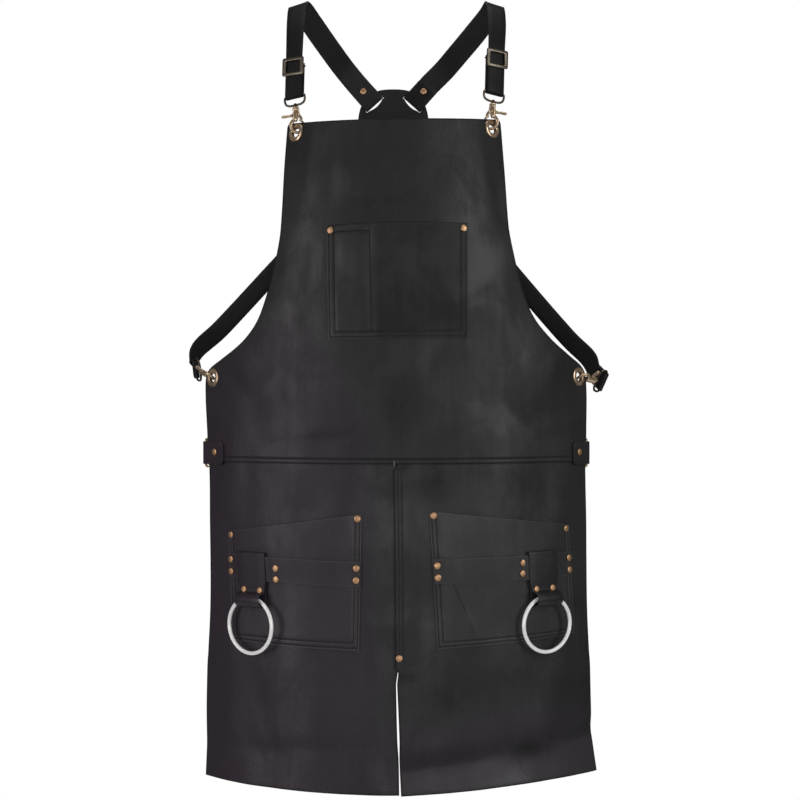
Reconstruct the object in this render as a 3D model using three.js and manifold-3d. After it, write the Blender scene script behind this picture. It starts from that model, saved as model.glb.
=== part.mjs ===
// A faux leather work apron, kept in the form it has when worn.
// Millimetres, +Z up, the front faces -Y, and left is the side at -X.
// The origin is where the shoulder straps rest, midway between the two crests.
import * as THREE from "three";
import Module from "manifold-3d";

const wasm = await Module();
wasm.setup();

// Driving sizes
const PANEL_THICK = 1.8;
const POCKET_THICK = 1.6;
const STRAP_WIDE = 25;
const SHOULDER_WIDE = 30;
const STRAP_THICK = 2;
const GAP = 0.3;
const BACK_GAP = 0.8;
const SKIRT_LIFT = -(PANEL_THICK + GAP);
const LAP_TOP = -583;
const BIB_FOOT = -600.5;
const HEM = -1014;
const POCKET_BULGE = 5;
const BAND_TALL = 31.5;
const HANGER_WIDE = 46;
const ROLL_WIDE = 40;
const RING_MEAN = 35.5;
const RING_WIRE = 2.5;
const ROLL_BORE = 7.4;
const RIVET_RADIUS = 4.5;
const RIVET_SHANK = 1.5;
const GROMMET_OUTER = 11.5;
const GROMMET_BORE = 6;
const CLAW_MEAN = 8.6;
const CLAW_WIRE = 1.9;
const PIVOT_HIGH = 14;
const EYE_HIGH = 39.5;
const EYE_LOW = 27.1;
const EYE_HALF = 15;
const EYE_WIRE = 1.5;
const PATCH_HALF_WIDE = 49.3;
const PATCH_BOW = 2.7;
const PATCH_HALF_TALL = 57;
const PATCH_THICK = 2;
const PATCH_CENTRE = new THREE.Vector3(-5.5, 105, -146);

// Finishes
const finish = (color, roughness, metalness) =>
  new THREE.MeshStandardMaterial({ color, roughness, metalness });
const LEATHER = finish(0x2b2829, 0.55, 0);
const STRAP_LEATHER = finish(0x232122, 0.6, 0);
const COPPER = finish(0xc8966a, 0.35, 1);
const BRASS = finish(0x9a8662, 0.4, 1);
const SILVER = finish(0xd8d8d6, 0.2, 1);

const apron = new THREE.Group();
apron.name = "leather_apron";

function addPiece(name, geometry, material) {
  const mesh = new THREE.Mesh(geometry, material);
  mesh.name = name;
  apron.add(mesh);
  return mesh;
}

// Tables are read with a smooth curve that never overshoots
function smoothTable(rows, at) {
  const knots = rows.map((row) => row.at);
  const last = knots.length - 1;
  const up = knots[last] > knots[0] ? 1 : -1;
  let i = 0;
  while (i < last - 1 && up * at > up * knots[i + 1]) i += 1;
  const span = knots[i + 1] - knots[i];
  const t = THREE.MathUtils.clamp((at - knots[i]) / span, 0, 1);
  const result = {};
  for (const key of Object.keys(rows[0])) {
    if (key === "at") continue;
    const slope = (k) => (rows[k + 1][key] - rows[k][key]) / (knots[k + 1] - knots[k]);
    const knotSlope = (k) => {
      if (k === 0) return slope(0);
      if (k === last) return slope(last - 1);
      const a = slope(k - 1);
      const b = slope(k);
      return a * b <= 0 ? 0 : (2 * a * b) / (a + b);
    };
    const m0 = knotSlope(i) * span;
    const m1 = knotSlope(i + 1) * span;
    const p0 = rows[i][key];
    const p1 = rows[i + 1][key];
    const t2 = t * t;
    const t3 = t2 * t;
    result[key] =
      (2 * t3 - 3 * t2 + 1) * p0 + (t3 - 2 * t2 + t) * m0 +
      (3 * t2 - 2 * t3) * p1 + (t3 - t2) * m1;
  }
  return result;
}

function straightTable(rows, at, key) {
  const up = rows[rows.length - 1].at > rows[0].at ? 1 : -1;
  for (let i = 0; i < rows.length - 1; i += 1) {
    if (up * at <= up * rows[i + 1].at || i === rows.length - 2) {
      const t = (at - rows[i].at) / (rows[i + 1].at - rows[i].at);
      return THREE.MathUtils.lerp(rows[i][key], rows[i + 1][key], THREE.MathUtils.clamp(t, 0, 1));
    }
  }
  return rows[0][key];
}

// The worn form: at each height a round front of its own radius
const BODY = [
  { at: -150, centre: -4, front: -92, radius: 185 },
  { at: -330, centre: -3, front: -114, radius: 240 },
  { at: -470, centre: -2, front: -115, radius: 325 },
  { at: -600, centre: 0, front: -112, radius: 340 },
  { at: -780, centre: 2, front: -114, radius: 342 },
  { at: -1030, centre: 3, front: -118, radius: 345 },
];

// The right strap is drawn tighter, so the bib is drawn up a little at its right
const BIB_TILT = [
  { at: -320, rise: 2.5 },
  { at: -440, rise: 2.3 },
  { at: -500, rise: 0 },
];

function onBody(along, high, lift = 0) {
  const z = high + (along / 140) * straightTable(BIB_TILT, high, "rise");
  const { centre, front, radius } = smoothTable(BODY, z);
  const angle = along / radius;
  return new THREE.Vector3(
    centre + (radius + lift) * Math.sin(angle),
    front + radius - (radius + lift) * Math.cos(angle),
    z,
  );
}

function levelOut(along, high) {
  const angle = along / smoothTable(BODY, high).radius;
  return new THREE.Vector3(Math.sin(angle), -Math.cos(angle), 0);
}

function outward(along, high) {
  const step = 2;
  const right = onBody(along + step, high).sub(onBody(along - step, high));
  const up = onBody(along, high + step).sub(onBody(along, high - step));
  return right.cross(up).normalize();
}

// Geometry helpers: triangles are collected as points and put out as one closed body
function bodyOf(points, faces) {
  const geometry = new THREE.BufferGeometry();
  const numbers = new Float32Array(points.flatMap((p) => [p.x, p.y, p.z]));
  geometry.setAttribute("position", new THREE.BufferAttribute(numbers, 3));
  geometry.setIndex(faces.flat());
  geometry.computeVertexNormals();
  return geometry;
}

function asSolid(geometry) {
  const indexed = geometry.index ? geometry : null;
  const position = geometry.getAttribute("position");
  const seen = new Map();
  const numbers = [];
  const places = [];
  for (let i = 0; i < position.count; i += 1) {
    const p = [position.getX(i), position.getY(i), position.getZ(i)];
    const key = p.map((v) => Math.round(v * 2000)).join(",");
    if (!seen.has(key)) {
      seen.set(key, numbers.length / 3);
      numbers.push(...p);
    }
    places.push(seen.get(key));
  }
  const order = indexed ? Array.from(geometry.index.array, (i) => places[i]) : places;
  const faces = [];
  for (let i = 0; i < order.length; i += 3) {
    const [a, b, c] = order.slice(i, i + 3);
    if (a !== b && b !== c && a !== c) faces.push(a, b, c);
  }
  return new wasm.Manifold(new wasm.Mesh({
    numProp: 3,
    vertProperties: new Float32Array(numbers),
    triVerts: new Uint32Array(faces),
  }));
}

function asGeometry(solid) {
  const mesh = solid.getMesh();
  const geometry = new THREE.BufferGeometry();
  geometry.setAttribute("position", new THREE.BufferAttribute(mesh.vertProperties, 3));
  geometry.setIndex(new THREE.BufferAttribute(mesh.triVerts, 1));
  geometry.computeVertexNormals();
  return geometry;
}

function cutBy(geometry, cutters) {
  let solid = asSolid(geometry);
  for (const cutter of cutters) solid = solid.subtract(asSolid(cutter));
  return asGeometry(solid);
}

function joined(geometries) {
  let solid = asSolid(geometries[0]);
  for (const other of geometries.slice(1)) solid = solid.add(asSolid(other));
  return asGeometry(solid);
}

// A wall of leather: a grid of front points, a grid of back points and the border between them
function wall(columns, rows, pointAt) {
  const points = [];
  const faces = [];
  const wide = columns + 1;
  const count = wide * (rows + 1);
  for (const side of [1, -1]) {
    for (let j = 0; j <= rows; j += 1) {
      for (let i = 0; i <= columns; i += 1) points.push(pointAt(i, j, side));
    }
  }
  for (let j = 0; j < rows; j += 1) {
    for (let i = 0; i < columns; i += 1) {
      const a = j * wide + i;
      const b = a + 1;
      const c = a + wide;
      const d = c + 1;
      faces.push([a, c, b], [b, c, d]);
      faces.push([a + count, b + count, c + count], [b + count, d + count, c + count]);
    }
  }
  const edge = (a, b) => faces.push([a, b, a + count], [b, b + count, a + count]);
  for (let i = 0; i < columns; i += 1) {
    edge(i, i + 1);
    edge(rows * wide + i + 1, rows * wide + i);
  }
  for (let j = 0; j < rows; j += 1) {
    edge((j + 1) * wide, j * wide);
    edge(j * wide + columns, (j + 1) * wide + columns);
  }
  return bodyOf(points, faces);
}

// A body through a row of closed sections, capped at its ends or closed on itself
function loft(sections, closed = false) {
  const points = sections.flat();
  const sides = sections[0].length;
  const faces = [];
  const last = closed ? sections.length : sections.length - 1;
  for (let k = 0; k < last; k += 1) {
    const next = (k + 1) % sections.length;
    for (let i = 0; i < sides; i += 1) {
      const j = (i + 1) % sides;
      const a = k * sides + i;
      const b = k * sides + j;
      const c = next * sides + i;
      const d = next * sides + j;
      faces.push([a, b, c], [b, d, c]);
    }
  }
  if (!closed) {
    const end = (sections.length - 1) * sides;
    for (let i = 1; i < sides - 1; i += 1) {
      faces.push([0, i + 1, i], [end, end + i, end + i + 1]);
    }
  }
  const geometry = bodyOf(points, faces);
  const solid = asSolid(geometry);
  if (solid.volume() < 0) {
    return bodyOf(points, faces.map(([a, b, c]) => [a, c, b]));
  }
  return geometry;
}

// A round wire along a path in one plane, whose normal is given
function wire(path, planeNormal, radius, sides, closed) {
  const sections = path.map((point, k) => {
    const before = path[closed ? (k + path.length - 1) % path.length : Math.max(k - 1, 0)];
    const after = path[closed ? (k + 1) % path.length : Math.min(k + 1, path.length - 1)];
    const ahead = after.clone().sub(before).normalize();
    const across = planeNormal.clone().cross(ahead).normalize();
    return Array.from({ length: sides }, (_, i) => {
      const turn = (2 * Math.PI * i) / sides;
      return point.clone()
        .addScaledVector(across, radius * Math.cos(turn))
        .addScaledVector(planeNormal, radius * Math.sin(turn));
    });
  });
  return loft(sections, closed);
}

// A flat strip along a path with a face direction at each point
function strip(stations, wide, thick) {
  const sections = stations.map((station, k) => {
    const before = stations[Math.max(k - 1, 0)].point;
    const after = stations[Math.min(k + 1, stations.length - 1)].point;
    const ahead = after.clone().sub(before).normalize();
    const across = station.across
      ? station.across.clone()
      : station.face.clone().cross(ahead).normalize();
    const out = ahead.clone().cross(across).normalize();
    const halfWide = (station.wide ?? wide) / 2;
    return [[-1, -1], [1, -1], [1, 1], [-1, 1]].map(([a, b]) =>
      station.point.clone()
        .addScaledVector(across, a * halfWide)
        .addScaledVector(out, (b * thick) / 2));
  });
  return loft(sections);
}

// A turned body: radius and height along its axis, both ends on the axis or both free
function turned(profile, origin, axis, sides, closed = false) {
  const helper = Math.abs(axis.z) > 0.9 ? new THREE.Vector3(1, 0, 0) : new THREE.Vector3(0, 0, 1);
  const u = axis.clone().cross(helper).normalize();
  const v = axis.clone().cross(u);
  const at = (radius, height, turn) => origin.clone()
    .addScaledVector(axis, height)
    .addScaledVector(u, radius * Math.cos(turn))
    .addScaledVector(v, radius * Math.sin(turn));
  if (closed) {
    const sections = Array.from({ length: sides }, (_, i) =>
      profile.map(({ radius, height }) => at(radius, height, (2 * Math.PI * i) / sides)));
    return loft(sections, true);
  }
  const sections = profile.map(({ radius, height }) =>
    Array.from({ length: sides }, (_, i) => at(radius, height, (2 * Math.PI * i) / sides)));
  return loft(sections);
}

// Rivets: a domed cap, a shank through the leather and a flat back cap
function rivetShape(origin, axis, frontAt, backAt) {
  const dome = 1.8;
  return turned([
    { radius: 2.2, height: frontAt + dome },
    { radius: RIVET_RADIUS, height: frontAt },
    { radius: RIVET_SHANK, height: frontAt },
    { radius: RIVET_SHANK, height: backAt },
    { radius: RIVET_RADIUS - 0.7, height: backAt - 0.8 },
  ], origin, axis, 6);
}

function shankHole(origin, axis, deep = 16) {
  const radius = (RIVET_SHANK + GAP) * Math.SQRT2;
  return turned([{ radius, height: -deep }, { radius, height: deep }], origin, axis, 4);
}

const RIVETS = [];
function addRivet(name, along, high, frontLift, backLift) {
  const origin = onBody(along, high, 0);
  const axis = outward(along, high);
  addPiece(name, rivetShape(origin, axis, frontLift + GAP, backLift - BACK_GAP), COPPER);
  RIVETS.push({ along, high, origin, axis });
}

function holesNear(test) {
  return RIVETS.filter(test).map(({ origin, axis }) => shankHole(origin, axis));
}

// Where each leather layer lies, outward from the bib's middle
const BIB_FRONT = PANEL_THICK / 2;
const SKIRT_FRONT = SKIRT_LIFT + PANEL_THICK / 2;
const SKIRT_BACK = SKIRT_LIFT - PANEL_THICK / 2;
const LAPPED_FRONT = PANEL_THICK / 2;
const BIB_POCKET_LIFT = BIB_FRONT + GAP + 0.1 + POCKET_THICK / 2;
const HIP_POCKET_LIFT = SKIRT_FRONT + GAP + POCKET_THICK / 2;
const BAND_LIFT = HIP_POCKET_LIFT + GAP + POCKET_THICK;

// Outline of the bib: half its width at each height
const BIB_EDGE = [
  { at: -164.5, half: 149 },
  { at: -171, half: 155 },
  { at: -233, half: 157 },
  { at: -297, half: 158 },
  { at: -340, half: 165 },
  { at: -404, half: 184 },
  { at: -420, half: 193 },
  { at: -435, half: 207 },
  { at: -450, half: 226 },
  { at: -465, half: 253 },
  { at: -477, half: 276 },
  { at: -485, half: 283 },
  { at: -496, half: 285 },
  { at: LAP_TOP, half: 280 },
  { at: BIB_FOOT, half: 280 },
];
const BIB_COLUMNS = 16;
const TOP_DIP = 6;

function bibPoint(across, row, lift) {
  const { at, half } = BIB_EDGE[row];
  const along = across * half;
  const dip = row < 2 ? TOP_DIP * (along / 150) ** 2 : 0;
  return onBody(along, at + dip, lift);
}

// Outline of a skirt: its inner and outer edges at each row, and the lift of its inner border
const SKIRT_ROWS = [
  { at: LAP_TOP, lap: -GAP, border: 0, half: 280 },
  { at: -592, lap: -GAP, border: 0, half: 280 },
  { at: -602, lap: -GAP, border: 0, half: 280 },
  { at: -608, lap: -GAP, border: 1, half: 280 },
  { at: -612, lap: 5, border: 1, half: 280 },
  { at: -749, lap: 5, border: 1, half: 279 },
  { at: -852, lap: 5, border: 1, half: 284 },
  { at: -862, lap: -1.7, border: 1, half: 285 },
  { at: -876, lap: -1.7, border: 0, half: 286 },
  { at: -942, lap: -1.7, border: 0, half: 287 },
  { at: -985, lap: -1.7, border: 0, half: 287 },
  { at: HEM, lap: -1.7, border: 0, half: 287 },
];
const SLIT_DRIFT = [
  { at: -852, shift: 0 },
  { at: -876, shift: -3 },
  { at: HEM, shift: 1 },
];
const SKIRT_COLUMNS = 8;
const HEM_KICK = 4;
const HEM_RISE = 7.5;

function skirtPoint(side, column, row, lift) {
  const { at, lap, border, half } = SKIRT_ROWS[row];
  const shift = straightTable(SLIT_DRIFT, at, "shift");
  const knots = [-lap, 9.5];
  for (let i = 1; i < SKIRT_COLUMNS; i += 1) knots.push((i * half) / SKIRT_COLUMNS);
  knots.push(half);
  const lying = knots[column];
  const nearSlit = column < 2 ? 1 : 0;
  const along = side * lying + nearSlit * shift;
  const raised = side > 0 && column < 2 ? border * -SKIRT_LIFT : 0;
  const hemSide = side > 0 ? lying / half : 0;
  const kick = row === SKIRT_ROWS.length - 1 ? HEM_KICK * (side > 0 ? 1 : 0.3) : 0;
  const rise = row >= SKIRT_ROWS.length - 2 ? HEM_RISE * Math.sin(hemSide * 2) : 0;
  const bend = row === SKIRT_ROWS.length - 2 ? 12 * hemSide : 0;
  const behindBib = column === 1 && row < 3 ? -0.4 : 0;
  return onBody(along, at + rise + bend, SKIRT_LIFT + raised + behindBib + kick + lift);
}

// Pockets: four corners on the body, a sewn border at three sides and an open, bulging mouth
const POCKETS = [
  {
    name: "bib_pocket", columns: 9, lift: BIB_POCKET_LIFT, bulge: POCKET_BULGE,
    topLeft: [-87, -298], topRight: [94, -298], footLeft: [-84.5, -442.5], footRight: [92, -443.5],
    downs: [0, 0.25, 0.5, 0.75, 0.95, 1],
  },
  {
    name: "hip_pocket_left", columns: 10, lift: HIP_POCKET_LIFT, bulge: POCKET_BULGE,
    topLeft: [-241, -690.5], topRight: [-45, -663], footLeft: [-232.5, -831], footRight: [-50, -834.5],
    downs: [0, 0.18, "bandTop", "bandFoot", 0.72, 0.88, 1],
    bandLeft: -718, bandRight: -723, hangerAlong: -195.7,
  },
  {
    name: "hip_pocket_right", columns: 10, lift: HIP_POCKET_LIFT, bulge: POCKET_BULGE,
    topLeft: [39.5, -659], topRight: [243, -682], footLeft: [48, -832], footRight: [250.5, -824],
    downs: [0, 0.18, "bandTop", "bandFoot", 0.72, 0.88, 1],
    bandLeft: -719.5, bandRight: -716.5, hangerAlong: 190.5,
  },
];

function pocketPlace(pocket, across, down) {
  const mix = THREE.MathUtils.lerp;
  const topHigh = mix(pocket.topLeft[1], pocket.topRight[1], across);
  const footHigh = mix(pocket.footLeft[1], pocket.footRight[1], across);
  let share = down;
  if (typeof down === "string") {
    const bandTop = mix(pocket.bandLeft, pocket.bandRight, across);
    const wanted = down === "bandTop" ? bandTop : bandTop - BAND_TALL;
    share = (wanted - topHigh) / (footHigh - topHigh);
  }
  const left = mix(pocket.topLeft[0], pocket.footLeft[0], share);
  const right = mix(pocket.topRight[0], pocket.footRight[0], share);
  return { along: mix(left, right, across), high: mix(topHigh, footHigh, share), share };
}

function pocketBulge(pocket, across, share) {
  const inset = 0.06;
  const inside = THREE.MathUtils.clamp((across - inset) / (1 - 2 * inset), 0, 1);
  const sideways = Math.sin(Math.PI * inside) ** 0.8;
  const downwards = 1 - THREE.MathUtils.smoothstep(share, 0, 0.95);
  return pocket.bulge * sideways * downwards;
}

function pocketPoint(pocket, across, down, lift) {
  const { along, high, share } = pocketPlace(pocket, across, down);
  const flat = pocket.hangerAlong ? hangerLines(pocket) : { left: 2, right: 2 };
  const clear = across > flat.left - 0.01 && across < flat.right + 0.01 ? 0.6 : 0;
  return onBody(along, high, pocket.lift + clear + pocketBulge(pocket, across, share) + lift);
}

function acrossSteps(pocket) {
  const inset = 0.06;
  const inner = pocket.columns - 2;
  const steps = [0];
  for (let i = 0; i <= inner; i += 1) steps.push(inset + ((1 - 2 * inset) * i) / inner);
  steps.push(1);
  if (!pocket.hangerAlong) return steps;
  const { left, right } = hangerLines(pocket);
  return steps.filter((step) => step < left - 0.03 || step > right + 0.03)
    .concat([left, right]).sort((a, b) => a - b);
}

// The two lines down a hip pocket between which its face is flat under the hanger
function hangerLines(pocket) {
  const start = pocketPlace(pocket, 0, "bandTop").along;
  const end = pocketPlace(pocket, 1, "bandTop").along;
  const middle = (pocket.hangerAlong - start) / (end - start);
  const half = (HANGER_WIDE / 2 + 2) / (end - start);
  return { left: middle - half, right: middle + half };
}

// Tool bands bow out under the hangers, which hang at one place along each band
const HANGERS = [
  { side: "left", pocket: POCKETS[1], ringTurn: 0 },
  { side: "right", pocket: POCKETS[2], ringTurn: -5 },
];
const BAND_BOW = POCKET_THICK + GAP + 0.2;

// Rivets of pockets, bands, tabs and slit: along, high, front lift and back lift of the layers
const POCKET_FRONT_BIB = BIB_POCKET_LIFT + POCKET_THICK / 2;
const POCKET_FRONT_HIP = HIP_POCKET_LIFT + POCKET_THICK / 2;
const BAND_FRONT = BAND_LIFT + POCKET_THICK / 2;
const TAB_FRONT = BIB_FRONT + GAP + POCKET_THICK;
const TAB_BACK = SKIRT_BACK - BACK_GAP - POCKET_THICK;
const RIVET_PLACES = [
  { name: "rivet_bib_pocket_left", along: -82, high: -305, front: POCKET_FRONT_BIB, back: -BIB_FRONT },
  { name: "rivet_bib_pocket_right", along: 88.5, high: -305, front: POCKET_FRONT_BIB, back: -BIB_FRONT },
  { name: "rivet_hip_left_outer", along: -235, high: -695, front: POCKET_FRONT_HIP, back: SKIRT_BACK },
  { name: "rivet_hip_left_inner", along: -50.5, high: -669, front: POCKET_FRONT_HIP, back: SKIRT_BACK },
  { name: "rivet_hip_right_inner", along: 45, high: -665, front: POCKET_FRONT_HIP, back: SKIRT_BACK },
  { name: "rivet_hip_right_outer", along: 237, high: -687, front: POCKET_FRONT_HIP, back: SKIRT_BACK },
  { name: "rivet_band_left_outer_upper", along: -233.6, high: -726.5, front: BAND_FRONT, back: SKIRT_BACK },
  { name: "rivet_band_left_outer_lower", along: -233, high: -742, front: BAND_FRONT, back: SKIRT_BACK },
  { name: "rivet_band_left_inner_upper", along: -52.4, high: -731, front: BAND_FRONT, back: SKIRT_BACK },
  { name: "rivet_band_left_inner_lower", along: -52.8, high: -746, front: BAND_FRONT, back: SKIRT_BACK },
  { name: "rivet_band_right_inner_upper", along: 48.6, high: -727.5, front: BAND_FRONT, back: SKIRT_BACK },
  { name: "rivet_band_right_inner_lower", along: 49.4, high: -742.5, front: BAND_FRONT, back: SKIRT_BACK },
  { name: "rivet_band_right_outer_upper", along: 240, high: -725, front: BAND_FRONT, back: SKIRT_BACK },
  { name: "rivet_band_right_outer_lower", along: 240.8, high: -740.5, front: BAND_FRONT, back: SKIRT_BACK },
  { name: "rivet_waist_tab_left", along: -262.5, high: -588, front: TAB_FRONT, back: TAB_BACK },
  { name: "rivet_waist_tab_right", along: 262.5, high: -588, front: TAB_FRONT, back: TAB_BACK },
  { name: "rivet_slit_top", along: 0.5, high: -843, front: LAPPED_FRONT, back: SKIRT_BACK },
];
for (const place of RIVET_PLACES) {
  addRivet(place.name, place.along, place.high, place.front, place.back);
}

// Grommets through the bib: two at its top corners and two at its side corners
const GROMMETS = [
  { name: "grommet_bib_left", along: -137.5, high: -172.5 },
  { name: "grommet_bib_right", along: 137.5, high: -172.5 },
  { name: "grommet_side_left", along: -268.5, high: -490 },
  { name: "grommet_side_right", along: 268.5, high: -490 },
];
const grommetHoles = [];
for (const grommet of GROMMETS) {
  const origin = onBody(grommet.along, grommet.high);
  const axis = outward(grommet.along, grommet.high);
  grommet.origin = origin;
  grommet.axis = axis;
  const barrel = GROMMET_BORE + 0.7;
  const seat = BIB_FRONT + GAP;
  const backSeat = BIB_FRONT + BACK_GAP;
  addPiece(grommet.name, turned([
    { radius: GROMMET_BORE, height: seat + 0.9 },
    { radius: GROMMET_OUTER, height: seat },
    { radius: barrel, height: seat },
    { radius: barrel, height: -backSeat },
    { radius: GROMMET_OUTER, height: -backSeat },
    { radius: GROMMET_BORE, height: -backSeat - 0.8 },
  ], origin, axis, 12, true), BRASS);
  const radius = barrel + 0.5;
  grommetHoles.push(turned(
    [{ radius, height: -6 }, { radius, height: 6 }], origin, axis, 12));
}

// Bib and skirts
const bibShell = wall(BIB_COLUMNS, BIB_EDGE.length - 1, (i, j, side) =>
  bibPoint((2 * i) / BIB_COLUMNS - 1, j, (side * PANEL_THICK) / 2));
const onBib = ({ high }) => high > BIB_FOOT;
addPiece("bib_panel", cutBy(bibShell, [...grommetHoles, ...holesNear(onBib)]), LEATHER);

for (const side of [-1, 1]) {
  const shell = wall(SKIRT_COLUMNS + 1, SKIRT_ROWS.length - 1, (i, j, face) => {
    const column = side > 0 ? i : SKIRT_COLUMNS + 1 - i;
    return skirtPoint(side, column, j, (face * PANEL_THICK) / 2);
  });
  const mine = ({ along, high }) => high < LAP_TOP && (side * along > 0 || Math.abs(along) < 5);
  addPiece(side > 0 ? "skirt_right" : "skirt_left", cutBy(shell, holesNear(mine)), LEATHER);
}

// Pockets and tool bands
for (const pocket of POCKETS) {
  const steps = acrossSteps(pocket);
  const shell = wall(steps.length - 1, pocket.downs.length - 1, (i, j, face) =>
    pocketPoint(pocket, steps[i], pocket.downs[j], (face * POCKET_THICK) / 2));
  const left = pocket.topLeft[0];
  const right = pocket.topRight[0];
  const mine = ({ along, high }) => along > left && along < right + 8 &&
    high < pocket.topLeft[1] + 40 && high > pocket.footRight[1];
  addPiece(pocket.name, cutBy(shell, holesNear(mine)), LEATHER);
}

for (const { side, pocket } of HANGERS) {
  const lines = hangerLines(pocket);
  const steps = acrossSteps(pocket);
  steps[0] = 0.006;
  steps[steps.length - 1] = 0.994;
  const bow = (step) => (step > lines.left - 0.01 && step < lines.right + 0.01 ? BAND_BOW : 0);
  const shell = wall(steps.length - 1, 1, (i, j, face) => {
    const lift = BAND_LIFT - HIP_POCKET_LIFT + bow(steps[i]) + (face * POCKET_THICK) / 2;
    return pocketPoint(pocket, steps[i], j === 0 ? "bandTop" : "bandFoot", lift);
  });
  const left = pocket.topLeft[0];
  const mine = ({ along, high }) => along > left && along < left + 210 && high < -720 && high > -752;
  addPiece("tool_band_" + side, cutBy(shell, holesNear(mine)), LEATHER);
}

// Ring hangers: a strip over the band, round the ring and back up, in a frame at the pocket face
for (const hanger of HANGERS) {
  const { pocket } = hanger;
  const lines = hangerLines(pocket);
  const half = POCKET_THICK / 2;
  const face = (line, row) => pocketPoint(pocket, line, row, half);
  const middleOf = (row) => face(lines.left, row).add(face(lines.right, row)).multiplyScalar(0.5);
  const topMiddle = middleOf("bandTop");
  const footMiddle = middleOf("bandFoot");
  const across = face(lines.right, "bandFoot").sub(face(lines.left, "bandFoot"))
    .add(face(lines.right, "bandTop")).sub(face(lines.left, "bandTop")).setZ(0).normalize();
  const out = across.clone().cross(new THREE.Vector3(0, 0, 1));
  const topHigh = topMiddle.z;
  const footHigh = footMiddle.z;
  const at = (lift, high) => {
    const share = (high - topHigh) / (footHigh - topHigh);
    return topMiddle.clone().lerp(footMiddle, share).addScaledVector(out, lift);
  };
  const seat = GAP + 0.1 + half;
  const overBand = BAND_BOW + GAP + POCKET_THICK + seat;
  const crest = (overBand - seat) / 2;
  const path = [at(seat, footHigh + 4), at(seat, topHigh - 2)];
  for (const turn of [150, 110, 70, 30]) {
    const angle = THREE.MathUtils.degToRad(turn);
    path.push(at(seat + crest * (1 + Math.cos(angle)), topHigh + 1.8 + crest * Math.sin(angle)));
  }
  path.push(at(overBand, topHigh - 2), at(overBand, footHigh - 1));
  path.push(at(overBand + 0.2, footHigh - 12.5), at(overBand + 1.5, footHigh - 15.6));
  const roll = ROLL_BORE + half;
  const rollHigh = footHigh - 25;
  const rollOut = GAP + 1.1 + roll + half;
  for (let turn = 75; turn >= -190; turn -= 26) {
    const angle = THREE.MathUtils.degToRad(turn);
    path.push(at(rollOut + roll * Math.cos(angle), rollHigh + roll * Math.sin(angle)));
  }
  path.push(at(seat + 0.9, footHigh - 13), at(seat + 0.5, footHigh - 2.5));
  const stations = path.map((point) => {
    const taper = THREE.MathUtils.clamp((footHigh - 1 - point.z) / 12, 0, 1);
    return { point, across, wide: THREE.MathUtils.lerp(HANGER_WIDE, ROLL_WIDE, taper) };
  });
  addPiece("ring_hanger_" + hanger.side, strip(stations, HANGER_WIDE, POCKET_THICK), LEATHER);

  const sagitta = RING_MEAN - Math.sqrt(RING_MEAN ** 2 - (ROLL_WIDE / 2) ** 2);
  const hinge = at(rollOut, rollHigh);
  const ringCentre = hinge.clone();
  ringCentre.z -= RING_MEAN - sagitta / 2;
  const ringSteps = 26;
  const upright = new THREE.Vector3(0, 0, 1);
  const ringAcross = across.clone().applyAxisAngle(upright, THREE.MathUtils.degToRad(hanger.ringTurn));
  const ringOut = ringAcross.clone().cross(upright);
  const ringPath = Array.from({ length: ringSteps }, (_, i) => {
    const angle = (2 * Math.PI * i) / ringSteps;
    return ringCentre.clone()
      .addScaledVector(ringAcross, RING_MEAN * Math.sin(angle))
      .addScaledVector(upright, RING_MEAN * Math.cos(angle));
  });
  const ring = addPiece("tool_ring_" + hanger.side, wire(ringPath, ringOut, RING_WIRE, 6, true), SILVER);
  ring.userData.hinge = { point: hinge, axis: across.clone().negate() };
}

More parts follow.
